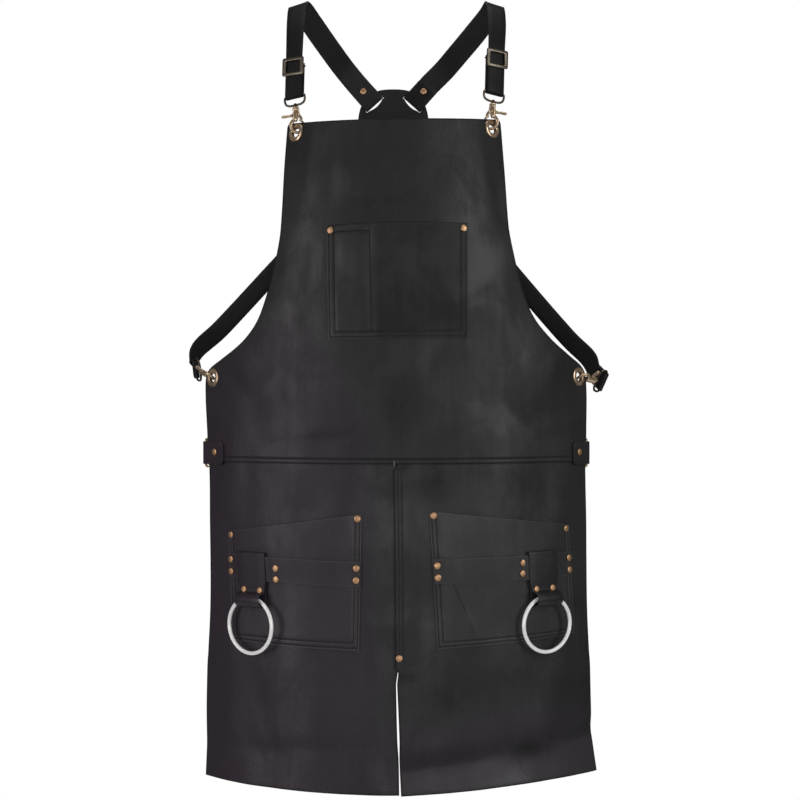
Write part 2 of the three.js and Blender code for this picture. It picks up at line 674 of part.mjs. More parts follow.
// Waist tabs folded round the apron's edge over a plain rectangular ring
const TAB_TALL = 30;
const TAB_HIGH = -589.5;
const TABS = [
  { side: -1, name: "left", edge: 284.5, reach: 39 },
  { side: 1, name: "right", edge: 281, reach: 31 },
];
const WAIST_RING_WIRE = 1.7;
for (const { side, name, edge, reach } of TABS) {
  const half = POCKET_THICK / 2;
  const frontLift = BIB_FRONT + GAP + half;
  const backLift = SKIRT_BACK - BACK_GAP - half;
  const foldLift = (frontLift + backLift) / 2;
  const fold = (frontLift - backLift) / 2;
  const stations = [];
  for (const share of [0, 0.33, 0.67, 1]) {
    stations.push({ along: edge - reach * (1 - share), lift: frontLift });
  }
  for (const turn of [60, 30, 0, -30, -60]) {
    const angle = THREE.MathUtils.degToRad(turn);
    stations.push({ along: edge + 1.8 + fold * Math.cos(angle), lift: foldLift + fold * Math.sin(angle) });
  }
  for (const share of [0, 0.33, 0.67, 1]) {
    stations.push({ along: edge - reach * share, lift: backLift });
  }
  const middle = stations.map(({ along, lift }) => onBody(side * along, TAB_HIGH, lift));
  const sections = stations.map((station, k) => {
    const before = middle[Math.max(k - 1, 0)];
    const after = middle[Math.min(k + 1, middle.length - 1)];
    const ahead = after.clone().sub(before).normalize();
    const up = new THREE.Vector3(0, 0, 1);
    const out = ahead.clone().cross(up);
    return [[-1, -1], [1, -1], [1, 1], [-1, 1]].map(([a, b]) =>
      middle[k].clone().addScaledVector(up, (a * TAB_TALL) / 2).addScaledVector(out, b * half));
  });
  const mine = ({ along, high }) => side * along > 250 && high > -610 && high < -570;
  addPiece("waist_tab_" + name, cutBy(loft(sections), holesNear(mine)), LEATHER);

  const barAt = onBody(side * (edge + 2), TAB_HIGH, foldLift);
  const inwardBack = new THREE.Vector3(-side * 0.18, 0.98, 0).normalize();
  const planeNormal = inwardBack.clone().cross(new THREE.Vector3(0, 0, 1));
  const deep = 17;
  const tall = TAB_TALL / 2 + 2.6;
  const corners = [
    { back: 0, high: tall - 2 }, { back: 2, high: tall }, { back: deep - 2, high: tall },
    { back: deep, high: tall - 2 }, { back: deep, high: 2 - tall }, { back: deep - 2, high: -tall },
    { back: 2, high: -tall }, { back: 0, high: 2 - tall },
  ];
  const ringPath = corners.map(({ back, high }) =>
    barAt.clone().addScaledVector(inwardBack, back).add(new THREE.Vector3(0, 0, high)));
  addPiece("waist_ring_" + name, wire(ringPath, planeNormal, WAIST_RING_WIRE, 6, true), BRASS);
}

// Snap clasps: built in their own frame, Z along the pull, the leather's outward side at -X
function plate(outline, halfThick) {
  const shape = new THREE.Shape(outline.map(([x, z]) => new THREE.Vector2(x, z)));
  const made = new THREE.ExtrudeGeometry(shape, { depth: 2 * halfThick, bevelEnabled: false });
  made.translate(0, 0, -halfThick);
  made.rotateX(Math.PI / 2);
  return made;
}

function arcPath(radius, fromTurn, toTurn, steps) {
  return Array.from({ length: steps + 1 }, (_, i) => {
    const angle = THREE.MathUtils.degToRad(fromTurn + ((toTurn - fromTurn) * i) / steps);
    return new THREE.Vector3(radius * Math.cos(angle), 0, radius * Math.sin(angle));
  });
}

const SIDEWAYS = new THREE.Vector3(0, 1, 0);
const PIVOT = new THREE.Vector3(0, 0, PIVOT_HIGH);
const GATE_REACH = 18.2;

function pinAlongY(radius, halfLong, sides) {
  return turned([{ radius, height: -halfLong }, { radius, height: halfLong }], PIVOT, SIDEWAYS, sides);
}

function claspBody() {
  const layer = (high, left, right, deep) => {
    const bevel = 1.2;
    return [
      [left + bevel, -deep], [right - bevel, -deep], [right, -deep + bevel], [right, deep - bevel],
      [right - bevel, deep], [left + bevel, deep], [left, deep - bevel], [left, -deep + bevel],
    ].map(([x, y]) => new THREE.Vector3(x, y, high));
  };
  const block = loft([
    layer(6.3, -4.2, 0.6, 2.6), layer(9.9, -5, 2.2, 3.2), layer(10.6, -5, 2.4, 3.2), layer(12, -5, 4, 3.2),
    layer(18.5, -4.4, 4.4, 3.4), layer(22.4, -4.3, 4.3, 3.7), layer(25.2, -3, 3, 2.9),
  ]);
  const slot = plate([[-9, 10.6], [9, 10.6], [9, 17.4], [-9, 17.4]], 1.4);
  const bore = turned(
    [{ radius: 2, height: 21.5 }, { radius: 2, height: 28 }],
    new THREE.Vector3(), new THREE.Vector3(0, 0, 1), 8);
  const hook = wire(arcPath(CLAW_MEAN, 100, 352, 12), SIDEWAYS, CLAW_WIRE, 6, false);
  const sweep = turned(
    [{ radius: GATE_REACH + 0.5, height: -6 }, { radius: GATE_REACH + 0.5, height: 6 }],
    PIVOT, SIDEWAYS, 32);
  const gateSide = plate([[2, -8], [14, -8], [14, 4], [2, 4]], 5);
  const trimmed = asGeometry(asSolid(hook).subtract(asSolid(sweep).intersect(asSolid(gateSide))));
  return joined([cutBy(block, [slot, bore]), trimmed, pinAlongY(1.1, 2.4, 8)]);
}

function claspLever() {
  const arm = plate([
    [-9, 12.4], [-3, 11.4], [0, 11], [3, 11.3], [4.2, 9], [5, 6.5], [7.4, 7.4],
    [7, 11], [5, 14.5], [3, 16.4], [0, 17], [-3, 16.4], [-9, 14.6],
  ], 1);
  const thumb = wire(
    [new THREE.Vector3(-6.5, 0, 13.6), new THREE.Vector3(-17.5, 0, 12.8)], SIDEWAYS, 1.7, 8, false);
  const gate = wire(arcPath(CLAW_MEAN, 58, -30, 5), SIDEWAYS, CLAW_WIRE - 0.2, 6, false);
  const reach = turned(
    [{ radius: GATE_REACH, height: -6 }, { radius: GATE_REACH, height: 6 }], PIVOT, SIDEWAYS, 32);
  const trimmed = asGeometry(asSolid(gate).intersect(asSolid(reach)));
  return cutBy(joined([arm, thumb, trimmed]), [pinAlongY(1.5, 4, 8)]);
}

function claspEye(barTurn) {
  const bar = new THREE.Vector3(Math.cos(barTurn), Math.sin(barTurn), 0);
  const normal = bar.clone().cross(new THREE.Vector3(0, 0, 1));
  const corners = [
    { side: -EYE_HALF + 2, high: EYE_HIGH }, { side: EYE_HALF - 2, high: EYE_HIGH },
    { side: EYE_HALF, high: EYE_HIGH - 2 }, { side: EYE_HALF - 1, high: EYE_LOW + 3.5 },
    { side: EYE_HALF - 5, high: EYE_LOW + 0.8 }, { side: 4, high: EYE_LOW }, { side: -4, high: EYE_LOW },
    { side: 5 - EYE_HALF, high: EYE_LOW + 0.8 }, { side: 1 - EYE_HALF, high: EYE_LOW + 3.5 },
    { side: -EYE_HALF, high: EYE_HIGH - 2 },
  ];
  const path = corners.map(({ side, high }) =>
    bar.clone().multiplyScalar(side).add(new THREE.Vector3(0, 0, high)));
  const post = turned(
    [{ radius: 1.6, height: 22 }, { radius: 1.6, height: EYE_LOW + 0.5 }],
    new THREE.Vector3(), new THREE.Vector3(0, 0, 1), 8);
  return joined([wire(path, normal, EYE_WIRE, 6, true), post]);
}

// Each clasp: its grommet, the pull towards its strap, a roll about the pull, how far the claw's centre
// lies along the pull and behind the leather, the eye's bar, and the way its strap leaves the bar
const CLASPS = [
  {
    name: "bib_left", grommet: GROMMETS[0], pull: [-0.1, 0.05, 0.99], roll: -42, reach: 8.9, inset: 2.1,
    bar: [0.88, -0.47, 0.12], run: [0.02, 0.09, 0.99], face: [-0.4, -0.9, 0],
  },
  {
    name: "bib_right", grommet: GROMMETS[1], pull: [0.12, 0.05, 0.99], roll: 42, reach: 8.9, inset: 2.1,
    bar: [0.88, 0.47, -0.02], run: [0.03, 0.09, 0.99], face: [0.4, -0.9, 0],
  },
  {
    name: "side_left", grommet: GROMMETS[2], pull: [-0.58, 0.77, 0.26], roll: 28, reach: 10.2, inset: 1.3,
    bar: [-0.14, -0.25, 0.96], run: [-0.2, 0.93, 0.3], face: [-1, 0, 0],
  },
  {
    name: "side_right", grommet: GROMMETS[3], pull: [0.75, 0.64, -0.1], roll: -28, reach: 10.6, inset: 1.6,
    bar: [0.5, -0.15, 0.85], run: [-0.6, 0.45, 0.66], face: [0, -1, 0],
  },
];
const BODY_SHAPE = claspBody();
const LEVER_SHAPE = claspLever();
for (const clasp of CLASPS) {
  const pull = new THREE.Vector3(...clasp.pull).normalize();
  const inward = clasp.grommet.axis.clone().negate();
  inward.addScaledVector(pull, -inward.dot(pull)).normalize();
  inward.applyAxisAngle(pull, THREE.MathUtils.degToRad(clasp.roll));
  const sideways = pull.clone().cross(inward);
  const origin = clasp.grommet.origin.clone()
    .addScaledVector(pull, clasp.reach).addScaledVector(inward, clasp.inset);
  const frame = new THREE.Matrix4().makeBasis(inward, sideways, pull).setPosition(origin);
  const bar = new THREE.Vector3(...clasp.bar);
  const barTurn = Math.atan2(bar.dot(sideways), bar.dot(inward));
  clasp.pullDirection = pull;
  clasp.barDirection = inward.clone().multiplyScalar(Math.cos(barTurn))
    .addScaledVector(sideways, Math.sin(barTurn));
  clasp.eyeBar = new THREE.Vector3(0, 0, EYE_HIGH).applyMatrix4(frame);
  const placed = (geometry) => geometry.clone().applyMatrix4(frame);
  addPiece("clasp_" + clasp.name, placed(BODY_SHAPE), BRASS);
  const lever = addPiece("lever_" + clasp.name, placed(LEVER_SHAPE), BRASS);
  lever.userData.hinge = { point: PIVOT.clone().applyMatrix4(frame), axis: sideways };
  addPiece("eye_" + clasp.name, placed(claspEye(barTurn)), BRASS);
}

// Back patch: an oval plate with a slot for each strap
const SLOT_SPARE = 2;
const SLOT_TALL = 4.4;
const PATCH_STRAPS = [
  { name: "shoulder_strap_left", side: -26, high: 36, leanSide: -0.667, leanHigh: 0.745, near: 1 },
  { name: "shoulder_strap_right", side: 26, high: 36, leanSide: 0.667, leanHigh: 0.745, near: -1 },
  { name: "side_strap_left", side: -26, high: -36, leanSide: -0.64, leanHigh: -0.77, near: 1 },
  { name: "side_strap_right", side: 26, high: -36, leanSide: 0.64, leanHigh: -0.77, near: -1 },
];
const patchShape = new THREE.Shape();
for (let i = 0; i < 56; i += 1) {
  const turn = (2 * Math.PI * i) / 56;
  const bow = (value) => Math.sign(value) * Math.abs(value) ** (2 / PATCH_BOW);
  const x = PATCH_HALF_WIDE * bow(Math.cos(turn));
  const y = PATCH_HALF_TALL * bow(Math.sin(turn));
  if (i === 0) patchShape.moveTo(x, y);
  else patchShape.lineTo(x, y);
}
patchShape.closePath();
for (const strap of PATCH_STRAPS) {
  const slot = new THREE.Path();
  const half = ((strap.high > 0 ? SHOULDER_WIDE : STRAP_WIDE) + SLOT_SPARE) / 2;
  [[-1, -1], [1, -1], [1, 1], [-1, 1]].forEach(([a, b], k) => {
    const x = strap.side + a * half * strap.leanHigh + (b * SLOT_TALL / 2) * strap.leanSide;
    const y = strap.high - a * half * strap.leanSide + (b * SLOT_TALL / 2) * strap.leanHigh;
    if (k === 0) slot.moveTo(x, y);
    else slot.lineTo(x, y);
  });
  slot.closePath();
  patchShape.holes.push(slot);
}
const patchPlate = new THREE.ExtrudeGeometry(
  patchShape, { depth: PATCH_THICK, bevelEnabled: false, curveSegments: 28 });
patchPlate.translate(0, 0, -PATCH_THICK / 2);
patchPlate.rotateX(Math.PI / 2);
patchPlate.translate(PATCH_CENTRE.x, PATCH_CENTRE.y, PATCH_CENTRE.z);
addPiece("back_patch", patchPlate, STRAP_LEATHER);

// The strap's fold round the patch's rim, from its free end through the slot to its long run
function patchFold(strap) {
  const slotAt = new THREE.Vector3(
    PATCH_CENTRE.x + strap.side, PATCH_CENTRE.y, PATCH_CENTRE.z + strap.high);
  const lean = new THREE.Vector3(strap.leanSide, 0, strap.leanHigh);
  const back = new THREE.Vector3(0, strap.near, 0);
  const across = lean.clone().cross(back);
  const seat = PATCH_THICK / 2 + GAP + STRAP_THICK / 2;
  const pinched = STRAP_THICK / 2 + GAP / 2;
  const at = (far, lift) => slotAt.clone().addScaledVector(lean, far).addScaledVector(back, lift);
  const path = [
    { far: 30, lift: pinched }, { far: 20, lift: pinched }, { far: 15.4, lift: seat }, { far: 2, lift: seat },
  ];
  for (const turn of [45, 0, -45]) {
    const angle = THREE.MathUtils.degToRad(turn);
    path.push({ far: 2 - seat * Math.cos(angle), lift: seat * Math.sin(angle) });
  }
  path.push({ far: 2, lift: -seat }, { far: 15.4, lift: -seat }, { far: 20, lift: -pinched });
  path.push({ far: 38, lift: -pinched });
  const rivetAt = at(21.6 + 2, 0);
  return {
    stations: path.map(({ far, lift }) => ({ point: at(far, lift), across })),
    rivetAt, back, across, outDirection: lean,
  };
}

// A smooth run of stations between given ones, with the face direction blended
function smoothRun(knots, steps) {
  const curve = new THREE.CatmullRomCurve3(knots.map(({ point }) => point), false, "centripetal");
  const stations = [];
  const count = (knots.length - 1) * steps;
  for (let i = 0; i <= count; i += 1) {
    const t = i / count;
    const place = t * (knots.length - 1);
    const k = Math.min(Math.floor(place), knots.length - 2);
    const across = knots[k].across.clone().lerp(knots[k + 1].across, place - k);
    const ahead = curve.getTangent(t);
    across.addScaledVector(ahead, -across.dot(ahead)).normalize();
    stations.push({ point: curve.getPoint(t), across });
  }
  return stations;
}

// The strap's loop round an eye's bar: a short inner layer, the turn, then the long outer layer
const EYE_TURN = EYE_WIRE + GAP + STRAP_THICK / 2 + 0.2;
function eyeLoop(clasp, faceOut, runDirection, innerLong, outerLong) {
  const { eyeBar, barDirection } = clasp;
  const pullDirection = runDirection.clone().normalize();
  const out = pullDirection.clone().cross(barDirection).normalize();
  if (out.dot(faceOut) < 0) out.negate();
  const at = (far, lift) => eyeBar.clone().addScaledVector(pullDirection, far).addScaledVector(out, lift);
  const path = [{ far: innerLong, lift: -EYE_TURN }, { far: 1.5, lift: -EYE_TURN }];
  for (const turn of [-150, -120, -90, -60, -30]) {
    const angle = THREE.MathUtils.degToRad(turn);
    path.push({ far: EYE_TURN * Math.sin(angle), lift: EYE_TURN * Math.cos(angle) });
  }
  path.push({ far: 1.5, lift: EYE_TURN }, { far: outerLong - 6, lift: EYE_TURN });
  path.push({ far: outerLong, lift: EYE_TURN });
  const stations = path.map(({ far, lift }) => ({ point: at(far, lift), across: barDirection }));
  return { stations, out, at, up: pullDirection };
}

// Straps: middle knots of each run, from the clasp to the patch, for the left; the right is mirrored,
// with its own shift inwards, drop and crossways direction where it hangs in another way
const SHOULDER_KNOTS = [
  { x: -132.5, y: -27, z: -28, across: [0.93, -0.32, 0.1] },
  { x: -131.5, y: -10, z: -3, across: [0.95, -0.15, 0.26] },
  { x: -130, y: 2, z: 2, across: [0.93, 0.05, 0.32] },
  { x: -125, y: 16, z: -1, across: [0.9, 0.15, 0.38], right: { drop: 5 } },
  { x: -114, y: 38, z: -15, across: [0.86, 0.08, 0.48], right: { inward: 4, drop: 8 } },
  { x: -90, y: 72, z: -44, across: [0.82, 0, 0.56], right: { inward: 6, drop: 4.5 } },
  { x: -72.5, y: 95, z: -64, across: [0.77, 0.02, 0.63], right: { inward: 6, drop: 1 } },
];
const SIDE_KNOTS = [
  {
    x: -272, y: 48, z: -456, across: [-0.3, -0.4, 0.86],
    right: { inward: 10, drop: 10, across: [-0.6, -0.3, 0.75] },
  },
  { x: -243, y: 87, z: -422, across: [-0.58, -0.1, 0.8], right: { inward: 6, drop: 13 } },
  { x: -175, y: 110, z: -345, across: [-0.72, -0.1, 0.69], right: { inward: 3.5, drop: 11 } },
  { x: -90, y: 111, z: -252, across: [-0.75, -0.02, 0.64], right: { drop: 6 } },
];

function turnedAlike(across, before) {
  return across.dot(before) < 0 ? across.clone().negate() : across;
}

for (const strap of PATCH_STRAPS) {
  const isRight = strap.side > 0;
  const isShoulder = strap.high > 0;
  const mirror = isRight ? -1 : 1;
  const clasp = CLASPS[(isShoulder ? 0 : 2) + (isRight ? 1 : 0)];
  const fold = patchFold(strap);
  const faceOut = new THREE.Vector3(...clasp.face);
  const runDirection = new THREE.Vector3(...clasp.run);
  const loop = isShoulder
    ? eyeLoop(clasp, faceOut, runDirection, isRight ? 47.5 : 41.5, isRight ? 61.5 : 53.5)
    : eyeLoop(clasp, faceOut, runDirection, 20, 14);
  const middle = (isShoulder ? SHOULDER_KNOTS : SIDE_KNOTS).map(({ x, y, z, across, right = {} }) => {
    if (!isRight) return { point: new THREE.Vector3(x, y, z), across: new THREE.Vector3(...across) };
    const { inward = 0, drop = 0, across: way = across } = right;
    return {
      point: new THREE.Vector3(-x - inward - 2, y, z - drop),
      across: new THREE.Vector3(-way[0], way[1], way[2]),
    };
  });
  const front = loop.stations;
  const rear = fold.stations.slice().reverse();
  let chain = [front[front.length - 1], ...middle, rear[0]];
  chain = chain.reduce((made, knot) => {
    const before = made.length ? made[made.length - 1].across : knot.across;
    made.push({ point: knot.point, across: turnedAlike(knot.across, before) });
    return made;
  }, []);
  const run = smoothRun(chain, 2);
  const lastAcross = run[run.length - 1].across;
  const rearAlike = rear.map(({ point, across }) => ({ point, across: turnedAlike(across, lastAcross) }));
  const stations = [...front.slice(0, -1), ...run, ...rearAlike.slice(1)].map(({ point, across }) => {
    const behind = isShoulder ? THREE.MathUtils.clamp((point.y + 10) / 50, 0, 1) : 0;
    return { point, across, wide: THREE.MathUtils.lerp(STRAP_WIDE, SHOULDER_WIDE, behind) };
  });
  const shell = strip(stations, STRAP_WIDE, STRAP_THICK);
  const rivetName = "rivet_patch_" + (isShoulder ? "upper_" : "lower_") + (isRight ? "right" : "left");
  const layers = STRAP_THICK + GAP / 2 + GAP;
  const axis = new THREE.Vector3(0, -1, 0);
  addPiece(rivetName, rivetShape(fold.rivetAt, axis, layers, -layers), COPPER);
  addPiece(strap.name, cutBy(shell, [shankHole(fold.rivetAt, axis, 8)]), STRAP_LEATHER);

  if (isShoulder) {
    const far = isRight ? 43.5 : 37.5;
    const up = loop.up;
    const out = loop.out;
    const centre = loop.at(far, EYE_TURN);
    const box = (x0, x1, y0, y1, z0, z1) => {
      const made = new THREE.BoxGeometry(x1 - x0, y1 - y0, z1 - z0);
      made.translate((x0 + x1) / 2, (y0 + y1) / 2, (z0 + z1) / 2);
      return made;
    };
    const halfWide = 16;
    const inner = STRAP_WIDE / 2 + 0.6;
    const halfTall = 12;
    const bar = 3.4;
    const faceSeat = STRAP_THICK / 2 + GAP;
    const deep = 2.4;
    const shape = joined([
      box(-halfWide, halfWide, faceSeat, faceSeat + deep, halfTall - bar, halfTall),
      box(-halfWide, halfWide, faceSeat, faceSeat + deep, -halfTall, bar - halfTall),
      box(-halfWide, -inner, faceSeat, faceSeat + deep, -halfTall, halfTall),
      box(inner, halfWide, faceSeat, faceSeat + deep, -halfTall, halfTall),
      box(-halfWide, -inner, -faceSeat - 2, faceSeat + deep, -1.5, 1.5),
      box(inner, halfWide, -faceSeat - 2, faceSeat + deep, -1.5, 1.5),
      box(-halfWide, halfWide, -faceSeat - 2, -faceSeat, -1.5, 1.5),
    ]);
    const across = out.clone().cross(up);
    const frame = new THREE.Matrix4().makeBasis(across, out, up).setPosition(centre);
    addPiece("slider_" + (isRight ? "right" : "left"), shape.applyMatrix4(frame), BRASS);
  }
}

export default apron;
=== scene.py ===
import math

import bmesh
import bpy
import numpy as np
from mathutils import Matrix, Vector


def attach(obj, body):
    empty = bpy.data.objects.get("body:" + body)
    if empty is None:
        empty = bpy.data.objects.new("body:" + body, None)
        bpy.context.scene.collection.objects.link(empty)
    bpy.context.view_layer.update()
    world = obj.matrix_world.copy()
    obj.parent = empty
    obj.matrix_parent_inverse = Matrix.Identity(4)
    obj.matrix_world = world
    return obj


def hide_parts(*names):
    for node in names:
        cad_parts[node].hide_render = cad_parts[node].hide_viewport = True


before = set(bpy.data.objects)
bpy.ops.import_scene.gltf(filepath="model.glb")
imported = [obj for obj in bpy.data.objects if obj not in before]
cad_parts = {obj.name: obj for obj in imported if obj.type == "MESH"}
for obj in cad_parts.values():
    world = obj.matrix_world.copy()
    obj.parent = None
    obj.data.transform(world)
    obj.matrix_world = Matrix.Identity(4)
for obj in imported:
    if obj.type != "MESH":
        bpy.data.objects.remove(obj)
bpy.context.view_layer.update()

MM = 0.001
UP = np.array([0, 0, 1.0])

# Sizes in millimetres, mostly those of the solids: leather and the gaps between its layers
PANEL_THICK = 1.8
POCKET_THICK = 1.6
STRAP_THICK = 2.0
STRAP_WIDE = 25.0
SHOULDER_WIDE = 30.0
GAP = 0.3
BACK_GAP = 0.8
# Bib
BIB_TOP = -164.5
BIB_FOOT = -600.5
BIB_HALF = 280.0
BIB_CORNER = 6.0
BIB_CORNER_FOOT = -171.0
BIB_DIP = 6.0
BIB_DIP_FOOT = -233.0
BIB_DIP_HALF = 150.0
WAIST_SEAM = -594.0
WAIST_SEAM_HALF = 252.0
# Skirts and the slit between them
SKIRT_LIFT = -(PANEL_THICK + GAP)
LAP_TOP = -583.0
LAP_FOOT = -600.0
SKIRT_NEAR = 40.0
SKIRT_FAR = 245.0
HEM = -1014.0
HEM_RISE = 7.5
SLIT_TOP = -850.0
SLIT_EASED = -880.0
SLIT_SEAMS = (5.8, 10.0)
SLIT_SEAM_TOP = -602.0
SLIT_SEAM_FOOT = -846.0
# Pockets, bands, hangers and tool rings
POCKET_BULGE = 5.0
BAND_LONG = 190.0
BAND_TALL = 31.5
HANGER_WIDE = 46.0
HANGER_RIVETS = 13.2
ROLL_WIDE = 40.0
ROLL_BORE = 7.4
RING_MEAN = 35.5
RING_WIRE = 2.5
# Waist tabs and their rings
TAB_HIGH = -589.5
TAB_HALF_WIDE = 15.0
TAB_CORNER = 8.0
WAIST_RING_WIRE = 1.7
# Rivets, grommets, clasps and sliders
RIVET_RADIUS = 4.5
RIVET_SHANK = 1.5
GROMMET_BORE = 6.0
GROMMET_HOLE = 7.2
GROMMET_OUTER = 11.5
FLANGE = 12.5
CLAW_MEAN = 8.6
CLAW_WIRE = 1.9
PIVOT_HIGH = 14.0
EYE_HIGH = 39.5
EYE_LOW = 27.1
EYE_HALF = 15.0
EYE_WIRE = 1.5
SLIDER_HALF = (16.0, 12.0)
SLIDER_THICK = 2.4
# Back patch
PATCH_CENTRE = np.array([-5.5, 105.0, -146.0])
PATCH_HALF_WIDE = 49.3
PATCH_HALF_TALL = 57.0
PATCH_BOW = 2.7
PATCH_THICK = 2.0
SLOT_ABOVE = 2.2
SLOT_BELOW = 1.8
SLOT_BOW = 2.5
# Stitches
STITCH_HALF_LONG = 1.75
STITCH_RADIUS = 0.48
STITCH_PITCH = 4.3
# How far the painted shade along a rim and the pale of a rim, partly rubbed wear and partly painted
# highlight, reach, and half the width of a sewn groove
RIM_WIDE = 2.0
PALE_RIM_WIDE = 1.6
GROOVE_WIDE = 0.85

# Lifts of the layers' faces and middles from the worn form
BIB_FRONT = PANEL_THICK / 2
SKIRT_FRONT = SKIRT_LIFT + PANEL_THICK / 2
SKIRT_BACK = SKIRT_LIFT - PANEL_THICK / 2
BIB_POCKET_LIFT = BIB_FRONT + GAP + 0.1 + POCKET_THICK / 2
HIP_POCKET_LIFT = SKIRT_FRONT + GAP + POCKET_THICK / 2
BAND_LIFT = HIP_POCKET_LIFT + GAP + POCKET_THICK
BAND_BOW = POCKET_THICK + GAP + 0.2

# The worn form at each height: height, centre, front, radius
WORN_FORM = (
    (-150, -4, -92, 185),
    (-330, -3, -114, 240),
    (-470, -2, -115, 325),
    (-600, 0, -112, 340),
    (-780, 2, -114, 342),
    (-1030, 3, -118, 345),
)
# The bib is drawn up at its right: height, rise
BIB_TILT = ((-320, 2.5), (-440, 2.3), (-500, 0.0))
BIB_TILT_ALONG = 140.0
# Outline of the bib: height, half width
BIB_EDGE = (
    (-171, 155), (-233, 157), (-297, 158), (-340, 165), (-404, 184), (-420, 193), (-435, 207),
    (-450, 226), (-465, 253), (-477, 276), (-485, 283), (-496, 285), (-583, 280), (-611, 280),
)
# Outline of a skirt: height, reach past the middle, raised border, half width
SKIRT_EDGE = (
    (-583, -0.3, 0, 280), (-602, -0.3, 0, 280), (-608, 5, 1, 280), (-749, 5, 1, 279),
    (-854, 5, 1, 284), (-861, -0.3, 1, 285), (-876, -0.6, 0, 286), (-945, -1.3, 0, 287),
    (-972, -0.45, 0, 287), (-1014, -1.1, 0, 287),
)
# Sideways drift of the slit: height, drift
SLIT_DRIFT = ((-852, 0.0), (-876, -3.0), (-1014, 1.0))
# Where the left and right skirt's hem kicks out: height at the middle, rise to the side, reach
HEM_KICKS = {-1: (-972, 4, 2.4), 1: (-988, 25, 7.5)}

# Pockets: corners, lines of stitching from the border, dividers by share of the width and depth,
# creases by start, end, height and reach, then how much painted shade and how much painted light they get
POCKETS = {
    "bib_pocket": dict(
        lift=BIB_POCKET_LIFT, top_left=(-87, -298), top_right=(94, -298), foot_left=(-84.5, -442.5),
        foot_right=(92, -443.5), seams=(2.6, 9.2), top_seam=9.0, dividers=((0.312, 1.0), (0.63, 0.3)),
        creases=(), shade=0.5, painted_light=0.0,
    ),
    "hip_pocket_left": dict(
        lift=HIP_POCKET_LIFT, top_left=(-241, -690.5), top_right=(-45, -663), foot_left=(-232.5, -831),
        foot_right=(-50, -834.5), seams=(2.6, 8.2), top_seam=None, dividers=(),
        creases=(), shade=0.0, painted_light=0.3,
        band=(-718, -723), hanger_along=-195.7, ring_turn=0.0,
    ),
    "hip_pocket_right": dict(
        lift=HIP_POCKET_LIFT, top_left=(39.5, -659), top_right=(243, -682), foot_left=(48, -832),
        foot_right=(250.5, -824), seams=(2.6, 8.2), top_seam=None, dividers=(),
        creases=((66, -748, 97, -817, 1.5, 7.0),), shade=0.0, painted_light=0.42,
        band=(-719.5, -716.5), hanger_along=190.5, ring_turn=-5.0,
    ),
}
# Grommets: along, high
GROMMETS = {
    "bib_left": (-137.5, -172.5),
    "bib_right": (137.5, -172.5),
    "side_left": (-268.5, -490.0),
    "side_right": (268.5, -490.0),
}

# Soft spots of painted light and shade: along, high, lean from upright in degrees, half width, half length,
# and strength, which is above zero for a painted highlight and below zero for painted shade
LIGHT_AND_SHADE_SPOTS = (
    (-104, -188, 3, 7, 20, 0.33),
    (4, -214, 0, 62, 42, -0.33),
    (-89, -244, 4, 12, 36, -0.35),
    (125, -290, -3, 9, 60, 0.22),
    (-119, -395, 0, 16, 40, -0.3),
    (-178, -536, 0, 52, 56, -0.36),
    (-90, -520, 0, 30, 40, 0.2),
    (4, -526, 0, 28, 52, -0.45),
    (97, -520, 0, 30, 40, 0.22),
    (185, -539, 0, 34, 42, -0.4),
    (47, -632, 0, 36, 30, -0.62),
    (166, -632, 0, 48, 30, -0.45),
    (-56, -895, 0, 42, 44, 0.22),
    (54, -901, 0, 62, 52, -0.52),
    (172, -890, 0, 46, 36, 0.12),
    (-165, -964, 0, 46, 20, -0.35),
    (172, -968, 0, 46, 16, -0.75),
    (54, -999, 0, 42, 12, 0.25),
)

# Soft folds: along, high, lean from upright in degrees, half width, half length, height
FOLDS = (
    (-112, -215, 4, 15, 62, 1.7),
    (-88, -260, 8, 18, 60, -1.0),
    (118, -225, -5, 15, 66, 1.8),
    (143, -262, -8, 10, 40, -0.8),
    (-40, -220, 20, 34, 46, 0.9),
    (48, -235, -14, 34, 50, -0.9),
    (-132, -385, -12, 20, 60, 1.6),
    (-104, -430, -30, 16, 44, -1.2),
    (136, -400, 10, 18, 56, 1.5),
    (118, -440, 28, 13, 40, -1.1),
    (-60, -500, 52, 22, 60, 1.3),
    (-150, -510, 64, 20, 66, -1.2),
    (-100, -556, 80, 10, 44, 1.2),
    (-84, -570, 84, 7, 36, -1.1),
    (70, -520, -50, 24, 66, 1.2),
    (160, -540, -66, 20, 60, -1.3),
    (30, -560, 86, 12, 60, 0.8),
    (-218, -470, -38, 14, 40, 1.2),
    (218, -480, 38, 14, 40, 1.3),
    (-150, -640, 12, 24, 60, 1.3),
    (-205, -650, -10, 16, 54, -1.1),
    (150, -640, -14, 24, 56, 1.3),
    (205, -640, 8, 16, 50, -1.0),
    (-120, -905, 6, 26, 70, 1.8),
    (-70, -930, -6, 20, 60, -1.3),
    (-190, -915, -8, 22, 70, -1.4),
    (-235, -900, 4, 18, 80, 1.2),
    (90, -900, 10, 26, 60, 1.5),
    (150, -925, -6, 22, 60, -1.4),
    (215, -900, 6, 22, 70, 1.5),
    (-30, -890, 4, 14, 60, 0.9),
    (-140, -962, 86, 10, 90, -1.4),
)
# Slow waves over all of the leather: length along, length high, phase, height
WAVES = ((163, 410, 0.6, 0.45), (-97, 233, 2.1, 0.3), (61, -171, 4.0, 0.16), (-43, -89, 1.2, 0.1))
# Places where hardware keeps the leather flat: along, high, reach
HELD = (
    *((*spot, 26) for spot in GROMMETS.values()),
    (-270, -589, 30), (270, -589, 30), (-196, -755, 46), (190.5, -755, 46),
)


